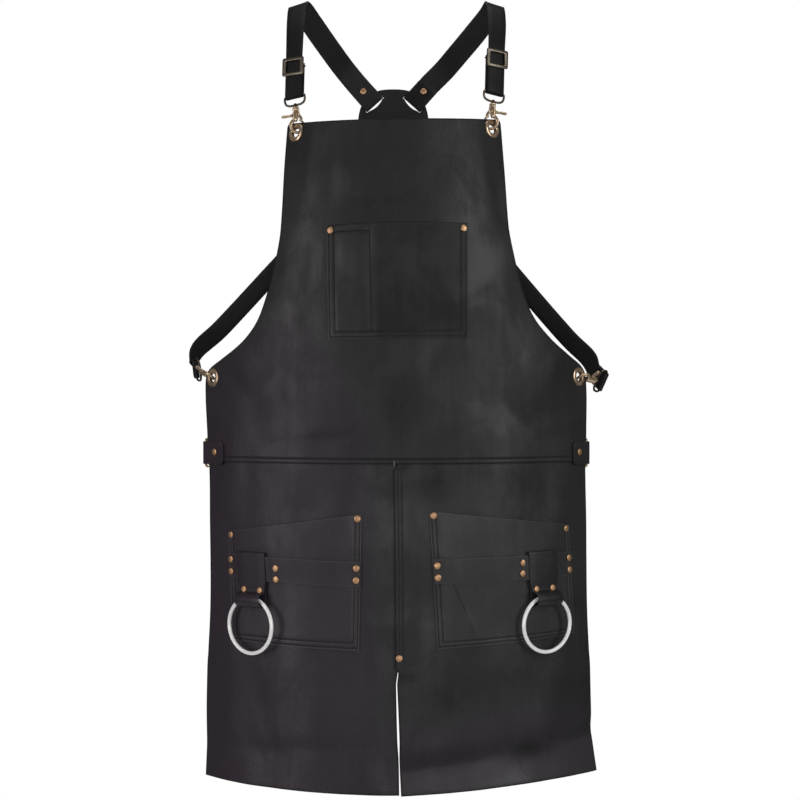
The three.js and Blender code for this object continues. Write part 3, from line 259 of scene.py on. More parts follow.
# Reading tables and placing points on the worn form
def read_table(table, at):
    """Each column of a table at the given heights, by a smooth curve that never overshoots."""
    table = np.asarray(table, float)
    knots = -table[:, 0]
    place = np.clip(-np.asarray(at, float), knots[0], knots[-1])
    k = np.clip(np.searchsorted(knots, place) - 1, 0, len(knots) - 2)
    span = knots[k + 1] - knots[k]
    t = (place - knots[k]) / span
    columns = []
    for values in table[:, 1:].T:
        slope = np.diff(values) / np.diff(knots)
        before, after = slope[:-1], slope[1:]
        total = np.where(before + after == 0, 1, before + after)
        inner = np.where(before * after <= 0, 0, 2 * before * after / total)
        lean = np.concatenate([slope[:1], inner, slope[-1:]])
        columns.append(
            (2 * t**3 - 3 * t**2 + 1) * values[k]
            + (t**3 - 2 * t**2 + t) * lean[k] * span
            + (3 * t**2 - 2 * t**3) * values[k + 1]
            + (t**3 - t**2) * lean[k + 1] * span
        )
    return columns


def straight(table, at):
    table = np.asarray(table, float)
    return np.interp(-np.asarray(at, float), -table[:, 0], table[:, 1])


def between(start, end, share):
    return start + (end - start) * share


def smoothstep(low, high, value):
    t = np.clip((np.asarray(value, float) - low) / (high - low), 0, 1)
    return t * t * (3 - 2 * t)


def bump(distance, width):
    return np.exp(-((np.asarray(distance, float) / width) ** 2))


def on_body(along, high, lift=0.0):
    along, high, lift = np.broadcast_arrays(*(np.asarray(v, float) for v in (along, high, lift)))
    z = high + along / BIB_TILT_ALONG * straight(BIB_TILT, high)
    centre, front, radius = read_table(WORN_FORM, z)
    angle = along / radius
    reach = radius + lift
    return np.stack([centre + reach * np.sin(angle), front + radius - reach * np.cos(angle), z], -1)


def soft_spots(rows, along, high):
    """The sum of soft oval spots, one to a row: along, high, lean, half width, half length, height."""
    total = np.zeros(np.broadcast_shapes(np.shape(along), np.shape(high)))
    for spot_along, spot_high, lean, half_wide, half_long, height in rows:
        turn = math.radians(lean)
        a = along - spot_along
        h = high - spot_high
        across = a * math.cos(turn) - h * math.sin(turn)
        down = a * math.sin(turn) + h * math.cos(turn)
        total += height * np.exp(-((across / half_wide) ** 2) - (down / half_long) ** 2)
    return total


def folds(along, high):
    along, high = np.broadcast_arrays(np.asarray(along, float), np.asarray(high, float))
    total = soft_spots(FOLDS, along, high)
    for long_along, long_high, phase, height in WAVES:
        total += height * np.sin(2 * math.pi * (along / long_along + high / long_high) + phase)
    for held_along, held_high, reach in HELD:
        total *= 1 - np.exp(-((along - held_along) ** 2 + (high - held_high) ** 2) / reach**2)
    return total


def on_leather(along, high, lift=0.0):
    return on_body(along, high, np.asarray(lift, float) + folds(along, high))


def unit(vector):
    vector = np.asarray(vector, float)
    return vector / np.linalg.norm(vector, axis=-1, keepdims=True)


def facing(place, a, b, step=1.5):
    """Outward direction of a surface place(a, b), where a goes right and b goes up."""
    right = place(a + step, b) - place(a - step, b)
    up = place(a, b + step) - place(a, b - step)
    return unit(np.cross(right, up))


def alike(way, before):
    """A way or its opposite, whichever goes with the one before."""
    return way if np.dot(way, before) >= 0 else -way


def turn_about(vector, axis, degrees):
    angle = math.radians(degrees)
    return (vector * math.cos(angle) + np.cross(axis, vector) * math.sin(angle)
            + axis * np.dot(axis, vector) * (1 - math.cos(angle)))


def round_run(turns, centre, radius):
    """Points of a round run, in a plane, at turns in degrees."""
    return [(centre[0] + radius * math.cos(turn), centre[1] + radius * math.sin(turn))
            for turn in np.radians(turns)]


# Mesh makers: each gives points in millimetres and faces
def wall(front, back):
    """A closed wall of leather between two grids whose rows go down and columns go right."""
    rows, columns = front.shape[:2]
    count = rows * columns
    points = np.concatenate([front.reshape(-1, 3), back.reshape(-1, 3)])
    index = np.arange(count).reshape(rows, columns)
    a, b = index[:-1, :-1], index[:-1, 1:]
    d, c = index[1:, :-1], index[1:, 1:]
    quads = np.stack([a, d, c, b], -1).reshape(-1, 4)
    faces = np.concatenate([quads, quads[:, ::-1] + count])
    ring = np.concatenate([index[:-1, 0], index[-1, :-1], index[:0:-1, -1], index[0, :0:-1]])
    after = np.roll(ring, -1)
    rim = np.stack([ring, ring + count, after + count, after], -1)
    return points, np.concatenate([faces, rim]).tolist()


def loft(sections, closed=False):
    """A body through a row of closed sections, capped at its ends or closed on itself."""
    sections = np.asarray(sections, float)
    count, sides = sections.shape[:2]
    points = sections.reshape(-1, 3)
    index = np.arange(count * sides).reshape(count, sides)
    if closed:
        index = np.concatenate([index, index[:1]])
    a, b = index[:-1], np.roll(index, -1, 1)[:-1]
    d, c = index[1:], np.roll(index, -1, 1)[1:]
    faces = np.stack([a, b, c, d], -1).reshape(-1, 4).tolist()
    if not closed:
        faces.append(index[0, ::-1].tolist())
        faces.append(index[-1].tolist())
    if signed_volume(points, faces) < 0:
        faces = [face[::-1] for face in faces]
    return points, faces


def signed_volume(points, faces):
    total = 0.0
    for face in faces:
        p = points[face]
        for k in range(1, len(face) - 1):
            total += np.dot(p[0], np.cross(p[k], p[k + 1]))
    return total


def turned(profile, origin, axis, sides=40):
    """A closed ring or a solid of revolution from radius and height pairs along its axis."""
    axis = unit(axis)
    helper = np.array([1.0, 0, 0]) if abs(axis[2]) > 0.9 else np.array([0, 0, 1.0])
    u = unit(np.cross(axis, helper))
    v = np.cross(axis, u)
    profile = np.asarray(profile, float)
    turn = 2 * math.pi * np.arange(sides) / sides
    round_way = np.cos(turn)[:, None] * u + np.sin(turn)[:, None] * v
    return (
        np.asarray(origin)
        + profile[:, 1, None, None] * axis
        + profile[:, 0, None, None] * round_way
    )


def turned_solid(profile, origin, axis, sides=40):
    return loft(turned(profile, origin, axis, sides))


def turned_ring(profile, origin, axis, sides=40):
    return loft(turned(profile, origin, axis, sides).transpose(1, 0, 2), closed=True)


def tube(path, radius, sides=14, closed=False, normal=None):
    """A round wire along a path; the radius may change from point to point."""
    path = np.asarray(path, float)
    if closed:
        ahead = unit(np.roll(path, -1, 0) - np.roll(path, 1, 0))
    else:
        ahead = unit(np.gradient(path, axis=0))
    if normal is None:
        normal = plane_normal(path)
    across = unit(np.cross(normal, ahead))
    other = np.cross(ahead, across)
    radius = np.broadcast_to(np.asarray(radius, float), len(path))
    turn = 2 * math.pi * np.arange(sides) / sides
    sections = (
        path[:, None]
        + radius[:, None, None] * np.cos(turn)[None, :, None] * across[:, None]
        + radius[:, None, None] * np.sin(turn)[None, :, None] * other[:, None]
    )
    return loft(sections, closed)


def plane_normal(path):
    middle = path - path.mean(0)
    return np.linalg.svd(middle)[2][2]


def rounded_ends(path, radius, steps=5):
    """A path and radii with a half round added at each end."""
    path = np.asarray(path, float)
    radius = np.broadcast_to(np.asarray(radius, float), len(path))
    first = unit(path[0] - path[1])
    last = unit(path[-1] - path[-2])
    turn = np.linspace(0, math.pi / 2, steps + 1)[1:]
    reach = np.sin(turn)
    shrink = np.maximum(np.cos(turn), 0.06)
    start = path[0] + (radius[0] * reach)[:, None] * first
    end = path[-1] + (radius[-1] * reach)[:, None] * last
    points = np.concatenate([start[::-1], path, end])
    sizes = np.concatenate([(radius[0] * shrink)[::-1], radius, radius[-1] * shrink])
    return points, sizes


def round_wire(path, radius, sides, normal):
    """A wire along an open path, with half round ends."""
    points, sizes = rounded_ends(path, radius)
    return tube(points, sizes, sides, normal=normal)


def ribbon(points, across, half_wide, half_thick, crown=0.12):
    """A flat strap with rounded edges along stations that each have a crossways direction."""
    points = np.asarray(points, float)
    across = np.asarray(across, float)
    ahead = unit(np.gradient(points, axis=0))
    out = unit(np.cross(ahead, across))
    half_wide = np.broadcast_to(np.asarray(half_wide, float), len(points))
    corner = half_thick * 0.75
    outline = []
    for edge, turns in ((1, (-80, -45, -10, 10, 45, 80)), (-1, (80, 45, 10, -10, -45, -80))):
        for turn in turns:
            angle = math.radians(turn)
            outline.append((edge, edge * corner * (math.cos(angle) - 1),
                            math.copysign(half_thick - corner, turn) + corner * math.sin(angle)))
        flat = half_thick + crown * 0.8 if edge > 0 else -half_thick
        outline.extend([(0.4 * edge, 0.0, flat), (-0.4 * edge, 0.0, flat)])
    outline = np.asarray(outline)
    wide = outline[None, :, 0] * half_wide[:, None] + outline[None, :, 1]
    sections = (
        points[:, None]
        + wide[..., None] * across[:, None]
        + outline[None, :, 2, None] * out[:, None]
    )
    return loft(sections)


def curve_stretch(corners, shares):
    """Points of a smooth curve between the middle two of four corners, at shares of the way."""
    p0, p1, p2, p3 = corners
    d0, d1, d2 = (max(np.linalg.norm(b - a) ** 0.5, 1e-4) for a, b in ((p0, p1), (p1, p2), (p2, p3)))
    m1 = ((p1 - p0) / d0 - (p2 - p0) / (d0 + d1) + (p2 - p1) / d1) * d1
    m2 = ((p2 - p1) / d1 - (p3 - p1) / (d1 + d2) + (p3 - p2) / d2) * d1
    return [p1 + m1 * t + (-3 * p1 + 3 * p2 - 2 * m1 - m2) * t**2 + (2 * p1 - 2 * p2 + m1 + m2) * t**3
            for t in shares]


def smooth_run(knots, steps):
    """A smooth curve through knots, of points and crossways directions, with steps to each stretch."""
    points = np.asarray([knot[0] for knot in knots], float)
    across = np.asarray([knot[1] for knot in knots], float)
    padded = np.concatenate([[2 * points[0] - points[1]], points, [2 * points[-1] - points[-2]]])
    made, ways = [], []
    for k in range(len(points) - 1):
        is_last = k == len(points) - 2
        shares = [i / steps for i in range(steps + 1 if is_last else steps)]
        made.extend(curve_stretch(padded[k:k + 4], shares))
        ways.extend(across[k] * (1 - t) + across[k + 1] * t for t in shares)
    made = np.asarray(made)
    ways = np.asarray(ways)
    ahead = unit(np.gradient(made, axis=0))
    ways -= np.sum(ways * ahead, -1, keepdims=True) * ahead
    return made, unit(ways)


def smooth_loop(corners, steps):
    """A smooth closed curve through corners in a plane."""
    corners = np.asarray(corners, float)
    shares = [i / steps for i in range(steps)]
    made = []
    for k in range(len(corners)):
        made.extend(curve_stretch([corners[(k + i - 1) % len(corners)] for i in range(4)], shares))
    return np.asarray(made)


def add_object(name, data):
    made = bpy.data.objects.new(name, data)
    bpy.context.collection.objects.link(made)
    return made


def flat_plate(outline, holes, half_thick, edge):
    """A plate with rounded edges and holes, in its own plane, as points and faces."""
    curve = bpy.data.curves.new("plate", "CURVE")
    curve.dimensions = "2D"
    curve.fill_mode = "BOTH"
    curve.extrude = half_thick - edge
    curve.bevel_depth = edge
    curve.bevel_resolution = 2
    curve.offset = -edge
    for loop in (outline, *holes):
        spline = curve.splines.new("POLY")
        spline.points.add(len(loop) - 1)
        spline.use_cyclic_u = True
        for point, (x, y) in zip(spline.points, loop):
            point.co = (x, y, 0, 1)
    holder = add_object("plate", curve)
    mesh = bpy.data.meshes.new_from_object(holder.evaluated_get(bpy.context.evaluated_depsgraph_get()))
    bpy.data.objects.remove(holder)
    shape = bmesh.new()
    shape.from_mesh(mesh)
    bmesh.ops.remove_doubles(shape, verts=shape.verts, dist=1e-3)
    bmesh.ops.recalc_face_normals(shape, faces=shape.faces)
    points = np.array([vertex.co[:] for vertex in shape.verts])
    shape.verts.index_update()
    faces = [[vertex.index for vertex in face.verts] for face in shape.faces]
    shape.free()
    bpy.data.meshes.remove(mesh)
    return points, faces


def moved(shell, frame_axes, origin):
    """A shell from its own frame, whose three axes are given, into the apron's frame."""
    points, faces = shell
    axes = np.asarray(frame_axes, float)
    made = points @ axes + np.asarray(origin, float)
    if np.linalg.det(axes) < 0:
        faces = [face[::-1] for face in faces]
    return made, faces


def rounded_box(half_x, half_y, corner, steps=5):
    """Outline of a rectangle with round corners."""
    outline = []
    for sign_x, sign_y, start in ((1, 1, 0), (-1, 1, 90), (-1, -1, 180), (1, -1, 270)):
        for k in range(steps + 1):
            angle = math.radians(start + 90 * k / steps)
            outline.append((sign_x * (half_x - corner) + corner * math.cos(angle),
                            sign_y * (half_y - corner) + corner * math.sin(angle)))
    return outline


def new_object(name, shells, material, sharp=38):
    points = np.concatenate([shell[0] for shell in shells]) * MM
    faces = []
    start = 0
    for shell_points, shell_faces in shells:
        faces.extend([[i + start for i in face] for face in shell_faces])
        start += len(shell_points)
    mesh = bpy.data.meshes.new(name)
    mesh.from_pydata(points.tolist(), [], faces)
    mesh.update()
    mesh.shade_smooth()
    mesh.set_sharp_from_angle(angle=math.radians(sharp))
    mesh.materials.append(material)
    return add_object(name, mesh)


def leather_wall(name, place, thick):
    """A wall of apron leather from a grid of places that is given for each lift of a face."""
    grids = [place(face * thick / 2) for face in (1, -1)]
    return new_object(f"{name}_leather", [wall(*grids)], APRON_LEATHER)


def mesh_shell(mesh):
    """The points in millimetres and the faces of a finished mesh."""
    points = np.array([vertex.co[:] for vertex in mesh.vertices]) / MM
    return points, [list(face.vertices) for face in mesh.polygons]


def set_mark(obj, name, values, copies=2):
    """Keeps a value for each point, twice over for a wall's two sides.

    On leather the pale mark is partly rubbed wear and partly painted highlight, and the dark mark is painted
    shade; on metal the dark mark is painted shade at rims.
    """
    mark = obj.data.attributes.new(name, "FLOAT", "POINT")
    mark.data.foreach_set("value", np.tile(np.ravel(values), copies).astype(np.float32))


def settle(obj):
    """Turns an object's modifiers into its plain mesh."""
    graph = bpy.context.evaluated_depsgraph_get()
    mesh = bpy.data.meshes.new_from_object(obj.evaluated_get(graph))
    obj.modifiers.clear()
    obj.data = mesh


def round_edges(obj, width):
    bevel = obj.modifiers.new("round_edges", "BEVEL")
    bevel.width = width * MM
    bevel.segments = 2
    bevel.limit_method = "ANGLE"
    bevel.angle_limit = math.radians(55)
    settle(obj)
    obj.data.shade_smooth()
    obj.data.set_sharp_from_angle(angle=math.radians(50))


def cut_away(obj, cutters):
    """Takes the cutters' shapes out of an object."""
    for cutter in cutters:
        tool = new_object("cutter", [cutter], obj.data.materials[0])
        cut = obj.modifiers.new("cut", "BOOLEAN")
        cut.operation = "DIFFERENCE"
        cut.solver = "EXACT"
        cut.object = tool
        settle(obj)
        bpy.data.objects.remove(tool)


def finish_piece(obj, body, slot, *nodes):
    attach(obj, body)
    if nodes:
        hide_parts(*nodes)
    return obj


# Shader groups and finishes
def add_socket(group, name, way, kind, value=None):
    socket = group.interface.new_socket(name=name, in_out=way, socket_type=kind)
    if value is not None:
        socket.default_value = value
    return socket


def add_node(tree, kind, settings=None, **inputs):
    """A node with its settings, and its inputs by name, each a value or another node's output."""
    node = tree.nodes.new(kind)
    for name, value in (settings or {}).items():
        setattr(node, name, value)
    for name, value in inputs.items():
        socket = node.inputs[name.replace("_", " ")]
        if isinstance(value, bpy.types.NodeSocket):
            tree.links.new(value, socket)
        else:
            socket.default_value = value
    return node


def add_mark(tree, name):
    """The value that a piece keeps for each of its points under a name."""
    return add_node(tree, "ShaderNodeAttribute", dict(attribute_name=name)).outputs["Fac"]


def start_group(name, scales, masks):
    """A shader group that reads a place and scales, and puts out masks."""
    group = bpy.data.node_groups.new(name, "ShaderNodeTree")
    add_socket(group, "Place", "INPUT", "NodeSocketVector")
    for label, value in scales:
        add_socket(group, label, "INPUT", "NodeSocketFloat", value)
    for label in masks:
        add_socket(group, label, "OUTPUT", "NodeSocketFloat")
    return group, group.nodes.new("NodeGroupInput").outputs, group.nodes.new("NodeGroupOutput").inputs


def add_mix(tree, factor, first, second):
    """A colour between two, by a factor from another node."""
    mix = tree.nodes.new("ShaderNodeMix")
    mix.data_type = "RGBA"
    tree.links.new(factor, mix.inputs["Factor"])
    for socket, value in ((mix.inputs[6], first), (mix.inputs[7], second)):
        if isinstance(value, tuple):
            socket.default_value = (*value, 1)
        else:
            tree.links.new(value, socket)
    return mix.outputs[2]


def add_range(tree, value, low, high, to_low, to_high):
    node = add_node(tree, "ShaderNodeMapRange", dict(interpolation_type="SMOOTHSTEP"), Value=value,
                    From_Min=low, From_Max=high, To_Min=to_low, To_Max=to_high)
    return node.outputs["Result"]


def add_math(tree, operation, first, second):
    node = tree.nodes.new("ShaderNodeMath")
    node.operation = operation
    for socket, value in zip(node.inputs, (first, second)):
        if isinstance(value, (int, float)):
            socket.default_value = value
        else:
            tree.links.new(value, socket)
    return node.outputs[0]


def make_leather_grain():
    group, enter, leave = start_group(
        "leather_grain", (("Grain Scale", 700.0), ("Cloud Scale", 9.0)), ("Height", "Cloud", "Tone", "Scuff"))
    place = enter["Place"]
    link = group.links.new

    def noise(where=place, **inputs):
        return add_node(group, "ShaderNodeTexNoise", Vector=where, **inputs).outputs["Fac"]

    pebble = add_node(group, "ShaderNodeTexVoronoi", dict(feature="SMOOTH_F1"), Vector=place,
                      Scale=enter["Grain Scale"])
    fine = add_math(group, "MULTIPLY", pebble.outputs["Distance"], -0.5)
    lines = add_math(group, "MULTIPLY", noise(Scale=240.0, Detail=4.0, Roughness=0.6), 0.7)
    slow = add_math(group, "MULTIPLY", noise(Scale=38.0, Detail=3.0, Roughness=0.5), 2.4)
    link(add_math(group, "ADD", add_math(group, "ADD", fine, lines), slow), leave["Height"])

    cloud = noise(Scale=enter["Cloud Scale"], Detail=4.0, Roughness=0.55, Distortion=0.6)
    stretch = add_node(group, "ShaderNodeMapping", Vector=place, Scale=(85, 85, 9))
    streak = noise(stretch.outputs["Vector"], Scale=1.0, Detail=3.0, Roughness=0.6)
    clouded = add_math(group, "ADD", cloud, add_range(group, streak, 0.3, 0.7, -0.05, 0.05))
    link(add_range(group, clouded, 0.3, 0.72, 0.0, 1.0), leave["Cloud"])

    axes = add_node(group, "ShaderNodeSeparateXYZ", Vector=place).outputs
    # A purple tint towards the left below the waist, and along the hem, made uneven by noise
    leftward = add_range(group, axes["X"], -0.14, 0.06, 1.0, 0.0)
    lower = add_range(group, axes["Z"], -0.62, -0.32, 1.0, 0.0)
    lowest = add_range(group, axes["Z"], -0.97, -0.86, 0.7, 0.0)
    tinted_share = add_math(group, "MAXIMUM", add_math(group, "MULTIPLY", leftward, lower), lowest)
    uneven = add_range(group, noise(Scale=5.0, Detail=2.0), 0.3, 0.7, 0.5, 1.0)
    link(add_math(group, "MULTIPLY", tinted_share, uneven), leave["Tone"])

    scuff = noise(Scale=120.0, Detail=6.0, Roughness=0.7)
    link(add_range(group, scuff, 0.58, 0.74, 0.0, 1.0), leave["Scuff"])
    return group


def make_metal_age():
    group, enter, leave = start_group("metal_age", (("Spot Scale", 220.0),), ("Age", "Scratch"))
    spots = add_node(group, "ShaderNodeTexNoise", Vector=enter["Place"], Scale=enter["Spot Scale"],
                     Detail=5.0, Roughness=0.6)
    group.links.new(add_range(group, spots.outputs["Fac"], 0.36, 0.66, 0.0, 1.0), leave["Age"])
    lines = add_node(group, "ShaderNodeTexNoise", Vector=enter["Place"], Scale=900.0, Detail=2.0)
    group.links.new(lines.outputs["Fac"], leave["Scratch"])
    return group


def place_group(tree, group, **inputs):
    """The outputs of a group that reads the piece's own coordinates."""
    place = tree.nodes.new("ShaderNodeTexCoord").outputs["Object"]
    return add_node(tree, "ShaderNodeGroup", dict(node_tree=group), Place=place, **inputs).outputs


def start_finish(name):
    finish = bpy.data.materials.new(name)
    finish.use_nodes = True
    tree = finish.node_tree
    return finish, tree, tree.nodes["Principled BSDF"]


def add_bump(tree, shader, height, strength, distance):
    node = add_node(tree, "ShaderNodeBump", Strength=strength, Distance=distance, Height=height)
    tree.links.new(node.outputs["Normal"], shader.inputs["Normal"])


LEATHER_GRAIN = make_leather_grain()
METAL_AGE = make_metal_age()


def make_leather(name, dark, pale, warm, edge, rough, gloss, grain, bump_strength):
    finish, tree, shader = start_finish(name)
    surface = place_group(tree, LEATHER_GRAIN, Grain_Scale=grain, Cloud_Scale=13.0)
    colour = add_mix(tree, surface["Cloud"], dark, pale)
    colour = add_mix(tree, surface["Tone"], colour, warm)
    colour = add_mix(tree, add_math(tree, "MULTIPLY", surface["Scuff"], 0.1), colour, edge)
    # The pale mark is partly rubbed wear and partly painted highlight and painted light, made patchy by the
    # scuff noise
    patchy_wear_and_light = add_range(tree, surface["Scuff"], 0.0, 1.0, 0.28, 0.6)
    colour = add_mix(tree, add_math(tree, "MULTIPLY", add_mark(tree, "wear_and_painted_light"), patchy_wear_and_light), colour, edge)
    # The dark mark is painted shade: grooves, creases, rims and dark spots are mixed towards near black, and
    # made rougher
    groove = add_range(tree, add_mark(tree, "painted_shade"), 0.0, 1.0, 0.0, 0.85)
    colour = add_mix(tree, groove, colour, (0.002, 0.002, 0.002))
    tree.links.new(colour, shader.inputs["Base Color"])
    uneven = add_range(tree, surface["Cloud"], 0.0, 1.0, rough + 0.07, rough - 0.06)
    tree.links.new(add_math(tree, "ADD", uneven, add_math(tree, "MULTIPLY", groove, 0.4)),
                   shader.inputs["Roughness"])
    shader.inputs["Specular IOR Level"].default_value = gloss
    add_bump(tree, shader, surface["Height"], bump_strength, 0.0007)
    return finish


def make_metal(name, bright, aged, rough, aged_rough, spots, metallic=1.0):
    finish, tree, shader = start_finish(name)
    surface = place_group(tree, METAL_AGE, Spot_Scale=spots)
    colour = add_mix(tree, surface["Age"], bright, aged)
    # Painted shade at rims: the mark mixes the colour towards near black
    colour = add_mix(tree, add_mark(tree, "painted_rim_shade"), colour, tuple(0.12 * part for part in aged))
    tree.links.new(colour, shader.inputs["Base Color"])
    tree.links.new(add_range(tree, surface["Age"], 0.0, 1.0, rough, aged_rough),
                   shader.inputs["Roughness"])
    shader.inputs["Metallic"].default_value = metallic
    add_bump(tree, shader, surface["Scratch"], 0.06, 0.0001)
    return finish


def make_thread(name, dark, pale):
    finish, tree, shader = start_finish(name)
    surface = place_group(tree, LEATHER_GRAIN, Grain_Scale=2600.0, Cloud_Scale=60.0)
    tree.links.new(add_mix(tree, surface["Cloud"], dark, pale), shader.inputs["Base Color"])
    shader.inputs["Roughness"].default_value = 0.6
    add_bump(tree, shader, surface["Height"], 0.3, 0.0003)
    return finish


APRON_LEATHER = make_leather(
    "apron_leather", dark=(0.0075, 0.0075, 0.0075), pale=(0.0200, 0.0200, 0.0203),
    warm=(0.0225, 0.0130, 0.0230), edge=(0.11, 0.104, 0.105), rough=0.46, gloss=0.36, grain=760.0,
    bump_strength=0.32)
STRAP_LEATHER = make_leather(
    "strap_leather", dark=(0.0045, 0.0043, 0.0044), pale=(0.0075, 0.0072, 0.0073),
    warm=(0.008, 0.0066, 0.0074), edge=(0.055, 0.052, 0.053), rough=0.52, gloss=0.2, grain=900.0,
    bump_strength=0.3)
COPPER = make_metal("copper_rivet", bright=(0.60, 0.365, 0.21), aged=(0.48, 0.28, 0.155),
                    rough=0.4, aged_rough=0.48, spots=200.0)
BRASS = make_metal("antique_brass", bright=(0.64, 0.49, 0.34), aged=(0.36, 0.255, 0.165),
                   rough=0.2, aged_rough=0.3, spots=120.0, metallic=0.85)
OLD_BRASS = make_metal("old_brass", bright=(0.125, 0.108, 0.082), aged=(0.08, 0.067, 0.049),
                       rough=0.26, aged_rough=0.34, spots=60.0, metallic=0.9)
BRONZE = make_metal("dark_bronze", bright=(0.115, 0.09, 0.066), aged=(0.06, 0.046, 0.034),
                    rough=0.2, aged_rough=0.3, spots=120.0)
# The rings are near white and barely metallic: their colour is a painted reflection of a bright studio in
# place of a bright metal's own reflections
RING_PAINTED_REFLECTION = make_metal("bright_ring", bright=(0.97, 0.97, 0.96), aged=(0.93, 0.92, 0.91),
                    rough=0.2, aged_rough=0.27, spots=160.0, metallic=0.1)
THREAD = make_thread("black_thread", dark=(0.008, 0.008, 0.008), pale=(0.02, 0.019, 0.02))
# Pale thread for the bar at the seams' meeting, whose paleness is partly a painted glint
PALE_THREAD_AND_GLINT = make_thread("pale_thread_and_glint", dark=(0.12, 0.115, 0.11), pale=(0.22, 0.21, 0.2))

SEAM_PATHS = {}


def add_seam(group, points):
    """Keeps a path for stitches, which are made last, a piece to each group."""
    SEAM_PATHS.setdefault(group, []).append(np.asarray(points, float))


# Leather panels
def graded(long, step, seams_at_start=(), seams_at_end=(), extra=()):
    """Places across a length, close together near its ends and beside its seams."""
    places = [0.0, 0.8, 1.7, long - 1.7, long - 0.8, long]
    for seams, sign, base in ((seams_at_start, 1, 0.0), (seams_at_end, -1, long)):
        for seam in seams:
            places.extend(base + sign * (seam + shift) for shift in (-1.4, -0.7, 0.0, 0.7, 1.4))
    for middle in extra:
        places.extend(middle + shift for shift in (-3.0, -1.6, -0.7, 0.0, 0.7, 1.6, 3.0))
    places = sorted(p for p in places if 0 <= p <= long)
    filled = [places[0]]
    for place in places[1:]:
        if place - filled[-1] < 0.35:
            continue
        gap = place - filled[-1]
        pieces = max(1, int(math.ceil(gap / step)))
        start = filled[-1]
        filled.extend(start + gap * (i + 1) / pieces for i in range(pieces))
    filled[-1] = long
    return np.asarray(filled)


def rim_distance(rows_long, columns_long):
    """How far each grid point is from the nearest border, from its distances along both ways."""
    down = np.minimum(rows_long, rows_long[-1] - rows_long)
    across = np.minimum(columns_long, columns_long[-1] - columns_long)
    return np.minimum(down[:, None], across[None, :])


def bib_half(high):
    half = read_table(BIB_EDGE, high)[0]
    corner = np.clip((high - BIB_CORNER_FOOT) / (BIB_TOP - BIB_CORNER_FOOT), 0, 1)
    rounded = BIB_EDGE[0][1] - BIB_CORNER + BIB_CORNER * np.sqrt(1 - corner**2)
    return np.where(high > BIB_CORNER_FOOT, rounded, half)


def waist_seam_run(along):
    """One along the waist seam and zero past its ends."""
    return np.clip((WAIST_SEAM_HALF - np.abs(along)) / 6, 0, 1)


def bib_place(across, high, lift):
    """A point of the bib, across from -1 at its left edge to 1 at its right edge."""
    along = across * bib_half(high)
    near_top = np.clip((high - BIB_DIP_FOOT) / (BIB_CORNER_FOOT - BIB_DIP_FOOT), 0, 1)
    dip = BIB_DIP * (along / BIB_DIP_HALF) ** 2 * near_top
    sewn = -0.65 * bump(high - WAIST_SEAM, 1.1) + 0.5 * bump(high - WAIST_SEAM + 3.6, 2.2)
    return on_leather(along, high + dip, lift + sewn * waist_seam_run(along))


def make_bib():
    seam_down = BIB_TOP - WAIST_SEAM
    beside_seam = (-9, -6, -3.4, -2, -1.2, -0.6, 0.6, 1.2, 2, 3, 4.2, 5.4)
    down = np.concatenate([
        [0, 0.25, 0.7, 1.5, 2.7, 4.3, 6.5, 9.0],
        graded(seam_down - 12, 4.4) + 12,
        [seam_down + shift for shift in beside_seam],
        [BIB_TOP - BIB_FOOT],
    ])
    down = np.unique(np.round(down, 3))
    high = BIB_TOP - down
    wide = 2 * BIB_HALF
    across_mm = graded(wide, 4.4)
    across = 2 * across_mm / wide - 1
    bib = leather_wall("bib", lambda lift: bib_place(across[None, :], high[:, None], lift), PANEL_THICK)
    half = bib_half(high)
    to_side = (1 - np.abs(across))[None, :] * half[:, None]
    # Painted shade along the bib's rims and in the waist seam's groove, and painted light and shade in soft
    # spots
    rim = bump(np.minimum(to_side, np.minimum(down, down[-1] - down)[:, None]), RIM_WIDE)
    painted_light_and_shade = soft_spots(LIGHT_AND_SHADE_SPOTS, across[None, :] * half[:, None], high[:, None])
    seam = 0.9 * bump(high - WAIST_SEAM, 1.0)[:, None] * waist_seam_run(across_mm - BIB_HALF)
    set_mark(bib, "wear_and_painted_light", np.maximum(painted_light_and_shade, 0))
    set_mark(bib, "painted_shade", np.maximum.reduce([seam, rim, -painted_light_and_shade]))
    hole = [(GROMMET_HOLE, -6), (GROMMET_HOLE, 6)]
    cut_away(bib, [turned_solid(hole, on_leather(*spot), facing(on_leather, *spot), 32)
                   for spot in GROMMETS.values()])
    round_edges(bib, 0.5)
    finish_piece(bib, "apron", "apron_leather", "bib_panel")
    seam_end = WAIST_SEAM_HALF - 2
    add_seam("waist", on_leather(np.linspace(-seam_end, seam_end, 150), WAIST_SEAM, BIB_FRONT - 0.45))


def skirt_lying(far, high):
    """How far a point of a skirt lies from the middle, far from its edge in millimetres, then as a share."""
    lap, border, half = read_table(SKIRT_EDGE, high)
    share = np.maximum(far - SKIRT_NEAR, 0)
    lying = -lap + np.minimum(far, SKIRT_NEAR) + share * (half + lap - SKIRT_NEAR)
    return lying, np.clip(lying / half, 0, 1), lap, border


def skirt_bend(side, out):
    """Height at which the hem of a skirt starts to kick out."""
    high, rise, _ = HEM_KICKS[side]
    return high + rise * out


def slit_seam_run(high):
    """One along the seams beside the slit and zero past their ends."""
    started = smoothstep(SLIT_SEAM_TOP, SLIT_SEAM_TOP - 4, high)
    return started * (1 - smoothstep(SLIT_SEAM_FOOT, SLIT_SEAM_FOOT - 6, high))


